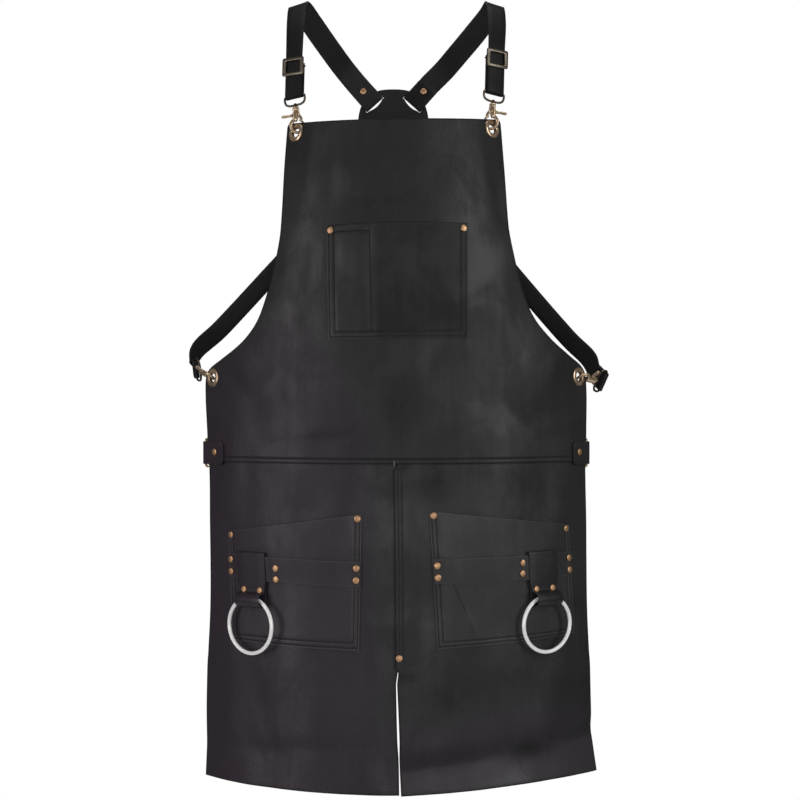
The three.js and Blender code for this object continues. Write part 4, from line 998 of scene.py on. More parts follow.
def skirt_place(side, far, high, lift):
    lying, out, lap, border = skirt_lying(far, high)
    drift = straight(SLIT_DRIFT, high) * np.clip((35 - lying) / 25.5, 0, 1)
    bend = skirt_bend(side, out)
    kicked = np.clip((bend - high) / (bend - HEM), 0, 1) ** 1.25
    kick = HEM_KICKS[side][2] * kicked
    behind = -0.4 * (1 - smoothstep(LAP_FOOT, LAP_FOOT - 6, high))
    rise = hollow = raised = sewn = 0.0
    if side > 0:
        rise = HEM_RISE * np.sin(2 * out) * smoothstep(-900, HEM, high)
        hollow = -1.6 * bump(high - bend - 9, 13)
        raised = border * -SKIRT_LIFT * (1 - smoothstep(13, 32, lying + lap))
        grooves = bump(far - SLIT_SEAMS[0], 0.8) + bump(far - SLIT_SEAMS[1], 0.9)
        sewn = (0.35 * bump(far - 2.8, 1.6) - 0.6 * grooves) * slit_seam_run(high)
    return on_leather(side * lying + drift, high + rise,
                      SKIRT_LIFT + raised + kick + hollow + sewn + behind + lift)


def make_skirts():
    down = np.concatenate([
        graded(LAP_TOP - SLIT_TOP, 5.0),
        np.arange(LAP_TOP - SLIT_TOP + 2, LAP_TOP - SLIT_EASED, 2.0),
        graded(SLIT_EASED - HEM, 4.2) + LAP_TOP - SLIT_EASED,
    ])
    down = np.unique(np.round(down, 3))
    high = LAP_TOP - down
    near = graded(SKIRT_NEAR, 3.0, SLIT_SEAMS)
    shares = np.linspace(0, 1, 58)[1:]
    far = np.concatenate([near, SKIRT_NEAR + shares])
    far_mm = np.concatenate([near, SKIRT_NEAR + shares * SKIRT_FAR])
    for side, name in ((-1, "left"), (1, "right")):
        skirt = leather_wall(
            f"skirt_{name}",
            lambda lift: skirt_place(side, far[None, :], high[:, None], lift)[:, ::side], PANEL_THICK)
        lying, out = skirt_lying(far[None, :], high[:, None])[:2]
        painted_light_and_shade = soft_spots(LIGHT_AND_SHADE_SPOTS, side * lying, high[:, None])
        # Painted shade along the rims and in dark spots, and painted light in pale spots
        dark = np.maximum(bump(rim_distance(down, far_mm), RIM_WIDE), -painted_light_and_shade)
        if side > 0:
            # On the right skirt a painted highlight on the strip below the hem's bend, a band of painted
            # shade above it, and painted shade in the slit seams' grooves
            above = high[:, None] - skirt_bend(side, out)
            painted_light_and_shade = painted_light_and_shade + 0.4 * (1 - smoothstep(-5, 2, above))
            lines = sum(bump(far_mm - seam, 0.8) for seam in SLIT_SEAMS)
            shade = 0.5 * smoothstep(-2, 5, above) * (1 - smoothstep(9, 48, above))
            dark = np.maximum.reduce([dark, 0.8 * slit_seam_run(high)[:, None] * lines, shade])
        set_mark(skirt, "wear_and_painted_light", np.maximum(painted_light_and_shade, 0)[:, ::side])
        set_mark(skirt, "painted_shade", dark[:, ::side])
        round_edges(skirt, 0.5)
        finish_piece(skirt, "apron", "apron_leather", f"skirt_{name}")
    seam_high = np.linspace(SLIT_SEAM_TOP - 2, SLIT_SEAM_FOOT - 2, 90)
    for seam in SLIT_SEAMS:
        add_seam("middle", skirt_place(1, seam, seam_high, PANEL_THICK / 2 + 0.1))


# Pockets, bands and hangers
def pocket_levels(pocket, across):
    """Heights of a pocket's top and foot at a share of its width."""
    return [between(pocket[f"{edge}_left"][1], pocket[f"{edge}_right"][1], across)
            for edge in ("top", "foot")]


def pocket_place(pocket, across, share):
    top, foot = pocket_levels(pocket, across)
    left = between(pocket["top_left"][0], pocket["foot_left"][0], share)
    right = between(pocket["top_right"][0], pocket["foot_right"][0], share)
    return between(left, right, across), between(top, foot, share)


def pocket_sizes(pocket):
    """Width of a pocket along its top and height along its left side."""
    return pocket["top_right"][0] - pocket["top_left"][0], pocket["top_left"][1] - pocket["foot_left"][1]


def band_share(pocket, across, down):
    """Share down the pocket at a distance below the band's upper edge."""
    top, foot = pocket_levels(pocket, across)
    return (between(*pocket["band"], across) - down - top) / (foot - top)


def pocket_bulge(pocket, across, share):
    inside = np.clip((across - 0.06) / 0.88, 0, 1)
    sideways = np.sin(math.pi * inside) ** 0.8
    for place, depth in pocket["dividers"]:
        sideways = sideways * (1 - 0.55 * depth * bump(across - place, 0.045))
    return POCKET_BULGE * sideways * (1 - smoothstep(0, 0.95, share))


def hanger_lines(pocket):
    share = band_share(pocket, np.array([0.0, 1.0]), 0.0)
    start = pocket_place(pocket, 0.0, share[0])[0]
    end = pocket_place(pocket, 1.0, share[1])[0]
    middle = (pocket["hanger_along"] - start) / (end - start)
    half = (HANGER_WIDE / 2 + 2) / (end - start)
    return middle - half, middle + half


def under_hanger(pocket, across, reach):
    if "hanger_along" not in pocket:
        return 0.0
    left, right = hanger_lines(pocket)
    return smoothstep(left - reach, left, across) * (1 - smoothstep(right, right + reach, across))


def pocket_point(pocket, across, share, lift):
    across, share = np.broadcast_arrays(np.asarray(across, float), np.asarray(share, float))
    along, high = pocket_place(pocket, across, share)
    clear = 0.6 * under_hanger(pocket, across, 0.05) + pocket_creases(pocket, along, high)
    return on_leather(along, high, pocket["lift"] + clear + pocket_bulge(pocket, across, share) + lift)


def crease_places(pocket, along, high):
    """For each crease: the distance to its right, a share that fades at its ends, its height and reach."""
    for start_along, start_high, end_along, end_high, height, reach in pocket["creases"]:
        way = unit((end_along - start_along, end_high - start_high))
        long = math.hypot(end_along - start_along, end_high - start_high)
        down = (along - start_along) * way[0] + (high - start_high) * way[1]
        across = (high - start_high) * way[0] - (along - start_along) * way[1]
        ends = smoothstep(-12, 8, down) * (1 - smoothstep(long - 12, long + 8, down))
        yield across, ends, height, reach


def pocket_creases(pocket, along, high):
    """Creases have a sharp right side and fall away slowly to the left."""
    total = 0.0
    for across, ends, height, reach in crease_places(pocket, along, high):
        side = np.exp(-np.maximum(across, 0) / 2.2 + np.minimum(across, 0) / reach)
        total = total + height * side * ends
    return total


# Where painted shade lies, along the sharp right side of each crease
def crease_lines(pocket, along, high):
    return sum(bump(across - 1.6, 1.7) * ends for across, ends, _, _ in crease_places(pocket, along, high))


def pocket_spot(pocket, along, high):
    """The across and share of a place on a pocket given along and high."""
    wide, tall = pocket_sizes(pocket)
    across, share = 0.5, 0.5
    for _ in range(30):
        at_along, at_high = pocket_place(pocket, across, share)
        across += (along - at_along) / wide
        share -= (high - at_high) / tall
    return across, share


def make_pocket(name, pocket):
    wide, tall = pocket_sizes(pocket)
    seams, top_seam, dividers = pocket["seams"], pocket["top_seam"], pocket["dividers"]
    step = 1.5 if pocket["creases"] else 4.0
    across_mm = graded(wide, step, seams, seams, [place * wide for place, _ in dividers])
    down_mm = graded(tall, step, (top_seam,) if top_seam else (), seams)
    across, share = across_mm[None, :] / wide, down_mm[:, None] / tall
    from_side = np.minimum(across_mm, wide - across_mm)[None, :]
    from_foot = (tall - down_mm)[:, None]
    inner = np.minimum(from_side, from_foot)
    below = smoothstep(0, 3, down_mm)[:, None]
    # Painted shade in the seams' grooves, over the part right of the first divider, in a line along the mouth
    # and in the dividers' grooves
    painted_shade = sum(bump(inner - seam, GROOVE_WIDE) for seam in seams) * below
    shade = pocket["shade"] * smoothstep(0.3, 0.38, across)
    if top_seam:
        sewn_there = smoothstep(seams[1], seams[1] + 2, from_side) * (across < dividers[0][0])
        painted_shade = painted_shade + bump(down_mm[:, None] - top_seam, GROOVE_WIDE) * sewn_there
        shade = np.maximum(shade, bump(down_mm, 1.9)[:, None])
    for place, depth in dividers:
        line = bump(across_mm[None, :] - place * wide, 1.0) * smoothstep(0, 2, from_foot - 8)
        painted_shade = painted_shade + depth * line
    puff = bump(inner - (seams[0] + seams[1]) / 2, 2.0)
    sewn = 0.3 * puff * below - 0.55 * painted_shade
    made = leather_wall(name, lambda lift: pocket_point(pocket, across, share, sewn + lift), POCKET_THICK)
    # Pale rims and a pale line inside the inner seam, partly rubbed wear and partly painted highlight, and
    # painted light over the whole pocket
    rim_wear_and_highlight = bump(rim_distance(down_mm, across_mm), PALE_RIM_WIDE)
    wear_and_painted_light = np.maximum(rim_wear_and_highlight, 0.55 * bump(inner - seams[0] - 2.4, 1.4))
    set_mark(made, "wear_and_painted_light", np.maximum(wear_and_painted_light, pocket["painted_light"]))
    # Painted shade along each crease's sharp side
    lines = crease_lines(pocket, *pocket_place(pocket, across, share))
    set_mark(made, "painted_shade", np.clip(np.maximum(painted_shade, shade) + 0.55 * lines, 0, 1))
    round_edges(made, 0.45)
    finish_piece(made, "apron", "apron_leather", name)


def sew_pocket(name, pocket):
    """Lays a pocket's seams round its sides and foot, along its top and down its deep divider."""
    wide, tall = pocket_sizes(pocket)
    seams = pocket["seams"]
    sunk = POCKET_THICK / 2 - 0.3
    start = 0.12
    for seam in seams:
        left, foot = seam / wide, 1 - seam / tall
        runs = [(np.full(40, left), np.linspace(start, foot, 40)),
                (np.linspace(left, 1 - left, 50), np.full(50, foot)),
                (np.full(40, 1 - left), np.linspace(foot, start, 40))]
        across, share = (np.concatenate(part) for part in zip(*runs))
        add_seam(name, pocket_point(pocket, across, share, sunk))
    if pocket["top_seam"]:
        across = np.linspace((seams[1] + 3) / wide, pocket["dividers"][0][0] - 0.01, 20)
        add_seam(name, pocket_point(pocket, across, pocket["top_seam"] / tall, sunk))
    for place, depth in pocket["dividers"]:
        if depth > 0.5:
            share = np.linspace(0.01, 1 - (seams[1] + 1) / tall, 60)
            add_seam(name, pocket_point(pocket, place, share, sunk - 0.2))


def make_pockets():
    for name, pocket in POCKETS.items():
        make_pocket(name, pocket)
        sew_pocket(name, pocket)


def band_point(pocket, across, down, lift):
    bow = BAND_BOW * under_hanger(pocket, across, 0.03)
    share = band_share(pocket, across, down)
    return pocket_point(pocket, across, share, BAND_LIFT - HIP_POCKET_LIFT + bow + lift)


def make_bands():
    # Each band gets painted light all over, and pale rims, partly rubbed wear and partly painted highlight
    for side, painted_light in (("left", 0.22), ("right", 0.42)):
        pocket = POCKETS[f"hip_pocket_{side}"]
        across_mm = graded(BAND_LONG, 3.0)
        across = 0.006 + 0.988 * across_mm / BAND_LONG
        down = graded(BAND_TALL, 3.4)
        made = leather_wall(
            f"tool_band_{side}",
            lambda lift: band_point(pocket, across[None, :], down[:, None], lift), POCKET_THICK)
        set_mark(made, "wear_and_painted_light", np.maximum(bump(rim_distance(down, across_mm), PALE_RIM_WIDE), painted_light))
        round_edges(made, 0.45)
        finish_piece(made, "apron", "apron_leather", f"tool_band_{side}")


RIVETS = []


def add_rivet(point, axis, deep):
    """A rivet by the place of its front cap's seat, its outward direction and how far its back cap is."""
    RIVETS.append((np.asarray(point, float), unit(axis), deep))


def make_hangers():
    half = POCKET_THICK / 2
    seat = GAP + 0.1 + half
    over = BAND_BOW + GAP + POCKET_THICK + seat
    crest = (over - seat) / 2
    roll = ROLL_BORE + half
    for side in ("left", "right"):
        pocket = POCKETS[f"hip_pocket_{side}"]
        lines = np.array(hanger_lines(pocket))
        top_ends, foot_ends = (pocket_point(pocket, lines, band_share(pocket, lines, down), half)
                               for down in (0.0, BAND_TALL))
        top, foot = top_ends.mean(0), foot_ends.mean(0)
        across = unit((top_ends[1] - top_ends[0] + foot_ends[1] - foot_ends[0]) * (1, 1, 0))
        out = np.cross(across, UP)

        def at(lift, high):
            return between(top, foot, (high - top[2]) / (foot[2] - top[2])) + out * lift

        roll_at = (GAP + 1.1 + roll + half, foot[2] - 25)
        knots = [
            (seat, foot[2] + 4), (seat, foot[2] + 16), (seat, top[2] - 2),
            *round_run((150, 120, 90, 60, 30), (seat + crest, top[2] + 1.8), crest),
            (over, top[2] - 2), (over + 0.1, top[2] - 16), (over, foot[2] - 1), (over, foot[2] - 7),
            (over + 0.2, foot[2] - 12.5), (over + 1.5, foot[2] - 15.6),
            *round_run(np.arange(75, -196, -15), roll_at, roll),
            (seat + 0.9, foot[2] - 13), (seat + 0.5, foot[2] - 2.5),
        ]
        points, ways = smooth_run([(at(*knot), across) for knot in knots], 4)
        taper = np.clip((foot[2] - 1 - points[:, 2]) / 12, 0, 1)
        half_wide = between(HANGER_WIDE, ROLL_WIDE, taper) / 2
        hanger = new_object(f"ring_hanger_{side}_leather", [ribbon(points, ways, half_wide, half)],
                            APRON_LEATHER)
        finish_piece(hanger, "apron", "apron_leather", f"ring_hanger_{side}")
        front_run = np.arange(len(points)) > np.argmax(points[:, 2])
        spot = int(np.argmax(front_run & (points[:, 2] < foot[2] - 11.5)))
        outward = alike(unit(np.cross(ways[spot], points[spot + 1] - points[spot - 1])), out)
        for shift in (-HANGER_RIVETS, HANGER_RIVETS):
            add_rivet(points[spot] + outward * (half + 0.15) + across * shift, outward, over - seat + half)
        make_tool_ring(side, at(*roll_at), turn_about(across, UP, pocket["ring_turn"]))


def make_tool_ring(side, roll_at, across):
    drop = RING_MEAN - math.sqrt(RING_MEAN**2 - (ROLL_WIDE / 2) ** 2)
    centre = roll_at - UP * (RING_MEAN - drop / 2)
    turn = 2 * math.pi * np.arange(96) / 96
    path = centre + RING_MEAN * (np.sin(turn)[:, None] * across + np.cos(turn)[:, None] * UP)
    shell = tube(path, RING_WIRE, 20, True, np.cross(across, UP))
    ring = new_object(f"tool_ring_{side}_metal", [shell], RING_PAINTED_REFLECTION)
    finish_piece(ring, f"tool_ring_{side}", "bright_ring", f"tool_ring_{side}")


def make_tabs():
    half = POCKET_THICK / 2
    front = BIB_FRONT + GAP + half
    back = SKIRT_BACK - BACK_GAP - half
    middle, fold = (front + back) / 2, (front - back) / 2
    for side, name, edge, reach in ((-1, "left", 284.5, 39.0), (1, "right", 281.0, 31.0)):
        steps = np.concatenate([[0, 0.4, 1.2, 2.4, 4.2, 6.5, 9.0], np.linspace(12, reach, 8)])
        path = [
            *((edge - reach + step, front) for step in steps),
            *round_run(np.arange(75, -76, -15), (edge + 1.8, middle), fold),
            *((edge - step, back) for step in np.linspace(0, reach, 12)),
        ]
        along, lift = np.array(path).T
        points = on_leather(side * along, TAB_HIGH, lift)
        ways = np.tile(UP, (len(points), 1))
        into_corner = np.zeros(len(points))
        into_corner[:len(steps)] = np.maximum(TAB_CORNER - steps, 0)
        cut = TAB_CORNER - np.sqrt(TAB_CORNER**2 - into_corner**2)
        tab = new_object(f"waist_tab_{name}_leather", [ribbon(points, ways, TAB_HALF_WIDE - cut, half)],
                         APRON_LEATHER)
        finish_piece(tab, "apron", "apron_leather", f"waist_tab_{name}")
        make_waist_ring(side, name, on_leather(side * (edge + 2), TAB_HIGH, middle))


def make_waist_ring(side, name, bar):
    back_way = unit((-side * 0.18, 0.98, 0))
    deep, tall = 17.0, 17.6
    outline = [(0, tall - 2), (2, tall), (deep - 2, tall), (deep, tall - 2),
               (deep, 2 - tall), (deep - 2, -tall), (2, -tall), (0, 2 - tall)]
    path = smooth_loop([bar + back_way * far + UP * high for far, high in outline], 8)
    ring = new_object(f"waist_ring_{name}_metal", [tube(path, WAIST_RING_WIRE, 14, True)], BRASS)
    finish_piece(ring, "apron", "antique_brass", f"waist_ring_{name}")


# Rivets at their places: along, high, name of what carries the cap
RIVET_PLACES = (
    (-82, -305, "bib_pocket"), (88.5, -305, "bib_pocket"),
    (-235, -695, "hip_pocket_left"), (-50.5, -669, "hip_pocket_left"),
    (45, -665, "hip_pocket_right"), (237, -687, "hip_pocket_right"),
    (-233.6, -726.5, "band_left"), (-233, -742, "band_left"), (-52.4, -731, "band_left"),
    (-52.8, -746, "band_left"), (-159, -734, "band_left"), (-159, -748, "band_left"),
    (48.6, -727.5, "band_right"), (49.4, -742.5, "band_right"), (240, -725, "band_right"),
    (240.8, -740.5, "band_right"), (161.8, -727, "band_right"), (161.7, -740.5, "band_right"),
    (-262.5, -588, "tab"), (262.5, -588, "tab"), (0.5, -843, "slit"),
)


def place_rivets():
    for along, high, carrier in RIVET_PLACES:
        axis = facing(on_leather, along, high)
        base = on_leather(along, high)
        if carrier in POCKETS or carrier.startswith("band"):
            pocket = POCKETS[carrier if carrier in POCKETS else carrier.replace("band", "hip_pocket")]
            across, share = pocket_spot(pocket, along, high)
            layers = 0.0 if carrier in POCKETS else BAND_LIFT - HIP_POCKET_LIFT
            front = pocket_point(pocket, across, share, POCKET_THICK / 2 + layers + GAP)
            back = -BIB_FRONT if carrier == "bib_pocket" else SKIRT_BACK
        elif carrier == "tab":
            front = base + axis * (BIB_FRONT + 2 * GAP + POCKET_THICK)
            back = SKIRT_BACK - BACK_GAP - POCKET_THICK
        else:
            front = base + axis * (PANEL_THICK / 2 + GAP)
            back = SKIRT_BACK
        deep = float(np.dot(front - base, axis)) - back + BACK_GAP
        add_rivet(front - axis * GAP * 0.8, axis, deep)


def rivet_nodes():
    return [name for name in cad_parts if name.startswith("rivet_")]


# Grommets and snap clasps
def make_grommets():
    places = {}
    sides = 48
    seat, back = BIB_FRONT + GAP * 0.6, BIB_FRONT + BACK_GAP
    profile = [
        (GROMMET_BORE, seat + 0.4), (GROMMET_BORE + 0.5, seat + 1.1), (GROMMET_BORE + 1.3, seat + 1.45),
        (8.4, seat + 1.75), (9.9, seat + 1.6), (11.2, seat + 1.1), (12.1, seat + 0.5), (FLANGE, seat + 0.1),
        (FLANGE - 0.3, seat), (GROMMET_BORE + 0.7, seat), (GROMMET_BORE + 0.7, -back),
        (GROMMET_OUTER, -back), (10.4, -back - 0.5), (8.4, -back - 0.8), (GROMMET_BORE + 0.6, -back - 0.8),
        (GROMMET_BORE, -back - 0.3),
    ]
    radii = np.array([radius for radius, _ in profile])
    # Painted shade at the flange's outer rim and at the bore's edge
    rim = 0.8 * smoothstep(FLANGE - 0.9, FLANGE - 0.2, radii)
    bore = 0.6 * (1 - smoothstep(GROMMET_BORE, GROMMET_BORE + 0.6, radii))
    for name, (along, high) in GROMMETS.items():
        axis = facing(on_body, along, high)
        origin = on_body(along, high)
        places[name] = (origin, axis)
        grommet = new_object(f"grommet_{name}_metal", [turned_ring(profile, origin, axis, sides)], BRASS)
        set_mark(grommet, "painted_rim_shade", np.maximum(rim, bore), sides)
        finish_piece(grommet, "apron", "antique_brass", f"grommet_{name}")
    return places


# Each clasp: its pull towards the strap, a roll about the pull, its reach and inset from the grommet's
# middle and the direction of the eye's bar; then the run of its strap, the way that the strap's outer
# layer faces and how long its inner and outer layers are
CLASPS = {
    "bib_left": dict(pull=(-0.1, 0.05, 0.99), roll=-42, reach=8.9, inset=2.1, bar=(0.88, -0.47, 0.12),
                     run=(0.02, 0.09, 0.99), face=(-0.4, -0.9, 0), layers=(41.5, 53.5)),
    "bib_right": dict(pull=(0.12, 0.05, 0.99), roll=42, reach=8.9, inset=2.1, bar=(0.88, 0.47, -0.02),
                      run=(0.03, 0.09, 0.99), face=(0.4, -0.9, 0), layers=(47.5, 61.5)),
    "side_left": dict(pull=(-0.58, 0.77, 0.26), roll=28, reach=10.2, inset=1.3, bar=(-0.14, -0.25, 0.96),
                      run=(-0.2, 0.93, 0.3), face=(-1, 0, 0), layers=(20, 14)),
    "side_right": dict(pull=(0.75, 0.64, -0.1), roll=-28, reach=10.6, inset=1.6, bar=(0.5, -0.15, 0.85),
                       run=(-0.6, 0.45, 0.66), face=(0, -1, 0), layers=(20, 14)),
}
# A clasp's hook and lever lie in a plane that faces this way in its own frame
CLASP_FLAT = np.array([0, 1.0, 0])


def arc(radius, start, end, steps):
    turn = np.radians(np.linspace(start, end, steps + 1))
    return np.stack([radius * np.cos(turn), np.zeros(steps + 1), radius * np.sin(turn)], -1)


def clasp_layer(high, left, right, deep):
    """A section of the clasp's body, a rectangle with well rounded corners."""
    outline = rounded_box((right - left) / 2, deep, min(2.0, deep * 0.6, (right - left) * 0.35), 4)
    return np.array([(x + (left + right) / 2, y, high) for x, y in outline])


def make_clasp_body():
    """The clasp's block, hook, axle and pin heads, in the clasp's own frame."""
    table = (
        (-5.9, -3.6, 0.2, 2.0), (-6.6, -4.3, 0.8, 2.7), (-8.2, -4.9, 1.5, 3.1), (-10.2, -5, 2.5, 3.3),
        (-12.5, -5, 4.1, 3.4), (-15.5, -4.8, 4.4, 3.4), (-18.2, -4.4, 4.4, 3.4), (-20.2, -4.2, 4.2, 3.5),
        (-22.2, -4.4, 4.4, 3.8), (-23.4, -4.2, 4.2, 3.6), (-24.5, -3.4, 3.4, 3.1), (-25.3, -2.5, 2.5, 2.4),
    )
    heights = np.linspace(5.9, 25.3, 40)
    left, right, deep = read_table(table, -heights)
    block = loft([clasp_layer(*row) for row in zip(heights, left, right, deep)])
    slot = [[(x, y, z) for x, y in ((-9, -1.4), (9, -1.4), (9, 1.4), (-9, 1.4))] for z in (10.6, 17.4)]
    body = new_object("clasp_block", [block], BRASS)
    cut_away(body, [loft(slot)])
    block = mesh_shell(body.data)
    bpy.data.objects.remove(body)
    hook = round_wire(arc(CLAW_MEAN, 100, 340, 44), CLAW_WIRE * np.linspace(1.3, 0.85, 45), 16, CLASP_FLAT)
    pivot = (0, 0, PIVOT_HIGH)
    axle = turned_solid([(1.1, -3), (1.1, 3)], pivot, (0, 1, 0), 16)
    head = [(1.9, 2.6), (1.9, 3.5), (1.6, 3.9), (0.9, 4.15), (0.1, 4.2)]
    heads = [turned_solid(head, pivot, (0, way, 0), 20) for way in (1, -1)]
    return [block, hook, axle, *heads]


def make_clasp_lever():
    """The lever's arm, gate and thumb piece, in the clasp's own frame."""
    outline = [(-9, 12.4), (-3, 11.4), (0, 11), (3, 11.3), (4.2, 9), (5, 6.5), (7.4, 7.4), (7, 11), (5, 14.5),
               (3, 16.4), (0, 17), (-3, 16.4), (-9, 14.6)]
    smooth = smooth_loop([(x, 0, z) for x, z in outline], 5)
    bore = round_run(np.arange(0, 360, 20), (0, PIVOT_HIGH), 1.5)
    arm_points, arm_faces = flat_plate([(p[0], p[2]) for p in smooth], [bore], 1.0, 0.35)
    arm = (arm_points[:, [0, 2, 1]] * np.array([1, -1, 1]), arm_faces)
    gate = round_wire(arc(CLAW_MEAN, 60, -10, 16), CLAW_WIRE - 0.5, 14, CLASP_FLAT)
    thumb_path = np.linspace((-6.5, 0, 13.6), (-17.5, 0, 12.8), 9)
    thumb_size = np.array([1.3, 1.75, 1.7, 1.65, 1.7, 1.8, 1.95, 2.05, 2.0])
    return [arm, gate, round_wire(thumb_path, thumb_size, 16, CLASP_FLAT)]


def clasp_eye(turn):
    bar = np.array([math.cos(turn), math.sin(turn), 0])
    outline = [(-EYE_HALF + 2, EYE_HIGH), (0, EYE_HIGH), (EYE_HALF - 2, EYE_HIGH), (EYE_HALF, EYE_HIGH - 2),
               (EYE_HALF - 1, EYE_LOW + 3.5), (EYE_HALF - 5, EYE_LOW + 0.8), (4, EYE_LOW), (-4, EYE_LOW),
               (5 - EYE_HALF, EYE_LOW + 0.8), (1 - EYE_HALF, EYE_LOW + 3.5), (-EYE_HALF, EYE_HIGH - 2)]
    path = smooth_loop([bar * side + UP * high for side, high in outline], 8)
    loop = tube(path, EYE_WIRE, 14, True, np.cross(bar, UP))
    post = turned_solid(
        [(1.2, 22), (1.6, 22.3), (1.6, 25.9), (2.5, 26.1), (2.9, 26.6), (2.9, 27.4), (2.5, 28.2), (1.9, 29.0),
         (1.2, 29.6), (0.3, 29.9)], (0, 0, 0), (0, 0, 1), 24)
    return [loop, post]


def make_clasps(grommets):
    body_shells, lever_shells = make_clasp_body(), make_clasp_lever()
    eyes = {}
    for name, clasp in CLASPS.items():
        origin, axis = grommets[name]
        pull = unit(clasp["pull"])
        inward = unit(-axis + np.dot(axis, pull) * pull)
        inward = turn_about(inward, pull, clasp["roll"])
        sideways = np.cross(pull, inward)
        axes = np.array([inward, sideways, pull])
        start = origin + pull * clasp["reach"] + inward * clasp["inset"]
        turn = math.atan2(np.dot(clasp["bar"], sideways), np.dot(clasp["bar"], inward))
        for kind, shells, body, metal in (
                ("clasp", body_shells, "apron", BRASS), ("lever", lever_shells, f"lever_{name}", BRASS),
                ("eye", clasp_eye(turn), "apron", BRONZE)):
            made = new_object(f"{kind}_{name}_metal", [moved(shell, axes, start) for shell in shells], metal)
            finish_piece(made, body, "antique_brass", f"{kind}_{name}")
        bar_way = inward * math.cos(turn) + sideways * math.sin(turn)
        eyes[name] = dict(clasp, bar=start + pull * EYE_HIGH, bar_way=bar_way)
    return eyes


# Back patch and straps: name, side, high, lean sideways, lean upwards, near side
PATCH_STRAPS = (
    ("shoulder_strap_left", -26, 36, -0.667, 0.745, 1),
    ("shoulder_strap_right", 26, 36, 0.667, 0.745, -1),
    ("side_strap_left", -26, -36, -0.64, -0.77, 1),
    ("side_strap_right", 26, -36, 0.64, -0.77, -1),
)
# Middle knots of a left strap: place, crossways direction, and for the right strap its shift inwards,
# its drop and, where it has one of its own, its crossways direction
SHOULDER_KNOTS = (
    ((-132.5, -27, -28), (0.93, -0.32, 0.1), 0, 0),
    ((-131.5, -10, -3), (0.95, -0.15, 0.26), 0, 0),
    ((-130, 2, 2), (0.93, 0.05, 0.32), 0, 0),
    ((-125, 16, -1), (0.9, 0.15, 0.38), 0, 5),
    ((-114, 38, -15), (0.86, 0.08, 0.48), 4, 8),
    ((-90, 72, -44), (0.82, 0, 0.56), 6, 4.5),
    ((-72.5, 95, -64), (0.77, 0.02, 0.63), 6, 1),
)
SIDE_KNOTS = (
    ((-272, 48, -456), (-0.3, -0.4, 0.86), 10, 10, (-0.6, -0.3, 0.75)),
    ((-243, 87, -422), (-0.58, -0.1, 0.8), 6, 13),
    ((-175, 110, -345), (-0.72, -0.1, 0.69), 3.5, 11),
    ((-90, 111, -252), (-0.75, -0.02, 0.64), 0, 6),
)
# Radius of a strap's middle where it turns round an eye's bar
EYE_TURN = EYE_WIRE + GAP + STRAP_THICK / 2 + 0.2


def patch_fold(side, high, lean_side, lean_high, near):
    """The strap's fold through its slot in the patch, from its free end to its long run."""
    slot_at = PATCH_CENTRE + np.array([side, 0, high])
    lean = np.array([lean_side, 0, lean_high])
    back = np.array([0, near, 0.0])
    seat = PATCH_THICK / 2 + GAP + STRAP_THICK / 2
    pinched = STRAP_THICK / 2 + GAP / 2
    easing = [(20, pinched), (17.7, (pinched + seat) / 2), (15.4, seat), (2, seat)]
    path = [
        (30, pinched), (24, pinched), *easing,
        *round_run(np.arange(105, 256, 15), (2, 0), seat),
        *((far, -lift) for far, lift in easing[::-1]), (28, -pinched), (38, -pinched),
    ]
    points = np.array([slot_at + lean * far + back * lift for far, lift in path])
    return points, np.cross(lean, back), slot_at + lean * 23.6


def eye_loop(eye):
    """The strap's loop round an eye's bar: a short inner layer, the turn, then the outer layer."""
    run = unit(eye["run"])
    out = alike(unit(np.cross(run, eye["bar_way"])), eye["face"])
    inner_long, outer_long = eye["layers"]

    def at(far, lift):
        return eye["bar"] + run * far + out * lift

    path = [at(far, -EYE_TURN) for far in np.linspace(inner_long, 1.5, 6)]
    path += [at(EYE_TURN * math.sin(a), EYE_TURN * math.cos(a)) for a in np.radians(np.arange(-165, -14, 15))]
    path += [at(far, EYE_TURN) for far in np.linspace(1.5, outer_long, 6)]
    return np.array(path), out, at, run


def make_slider(name, centre, out, up):
    across = np.cross(out, up)
    seat = STRAP_THICK / 2 + GAP
    plate = flat_plate(rounded_box(*SLIDER_HALF, 2.6), [rounded_box(10.3, 7.6, 1.6)], SLIDER_THICK / 2, 0.9)
    axes = np.array([across, up, -out])
    shells = [moved(plate, axes, centre + out * (seat + SLIDER_THICK / 2))]
    ear = (SLIDER_HALF[0] + STRAP_WIDE / 2 + 0.6) / 2
    for way in (-1, 1):
        path = [centre + across * way * ear + out * lift for lift in np.linspace(-seat - 1.6, seat + 1.0, 6)]
        shells.append(tube(path, 1.45, 14, normal=up))
    bar = [centre - out * (seat + 1.2) + across * far for far in np.linspace(-14.6, 14.6, 8)]
    shells.append(round_wire(bar, 1.2, 14, up))
    slider = new_object(f"slider_{name}_metal", shells, OLD_BRASS)
    finish_piece(slider, "apron", "antique_brass", f"slider_{name}")


def strap_knots(is_right, is_shoulder, start, end):
    """A strap's knots from its loop round the eye to its fold at the patch."""
    knots = [start]
    for place, way, inward, drop, *right_way in (SHOULDER_KNOTS if is_shoulder else SIDE_KNOTS):
        if is_right:
            place = (-place[0] - inward - 2, place[1], place[2] - drop)
            way = np.multiply(right_way[0] if right_way else way, (-1, 1, 1))
        knots.append((np.array(place), alike(np.array(way), knots[-1][1])))
    end_point, end_way = end
    return [*knots, (end_point, alike(end_way, knots[-1][1]))]


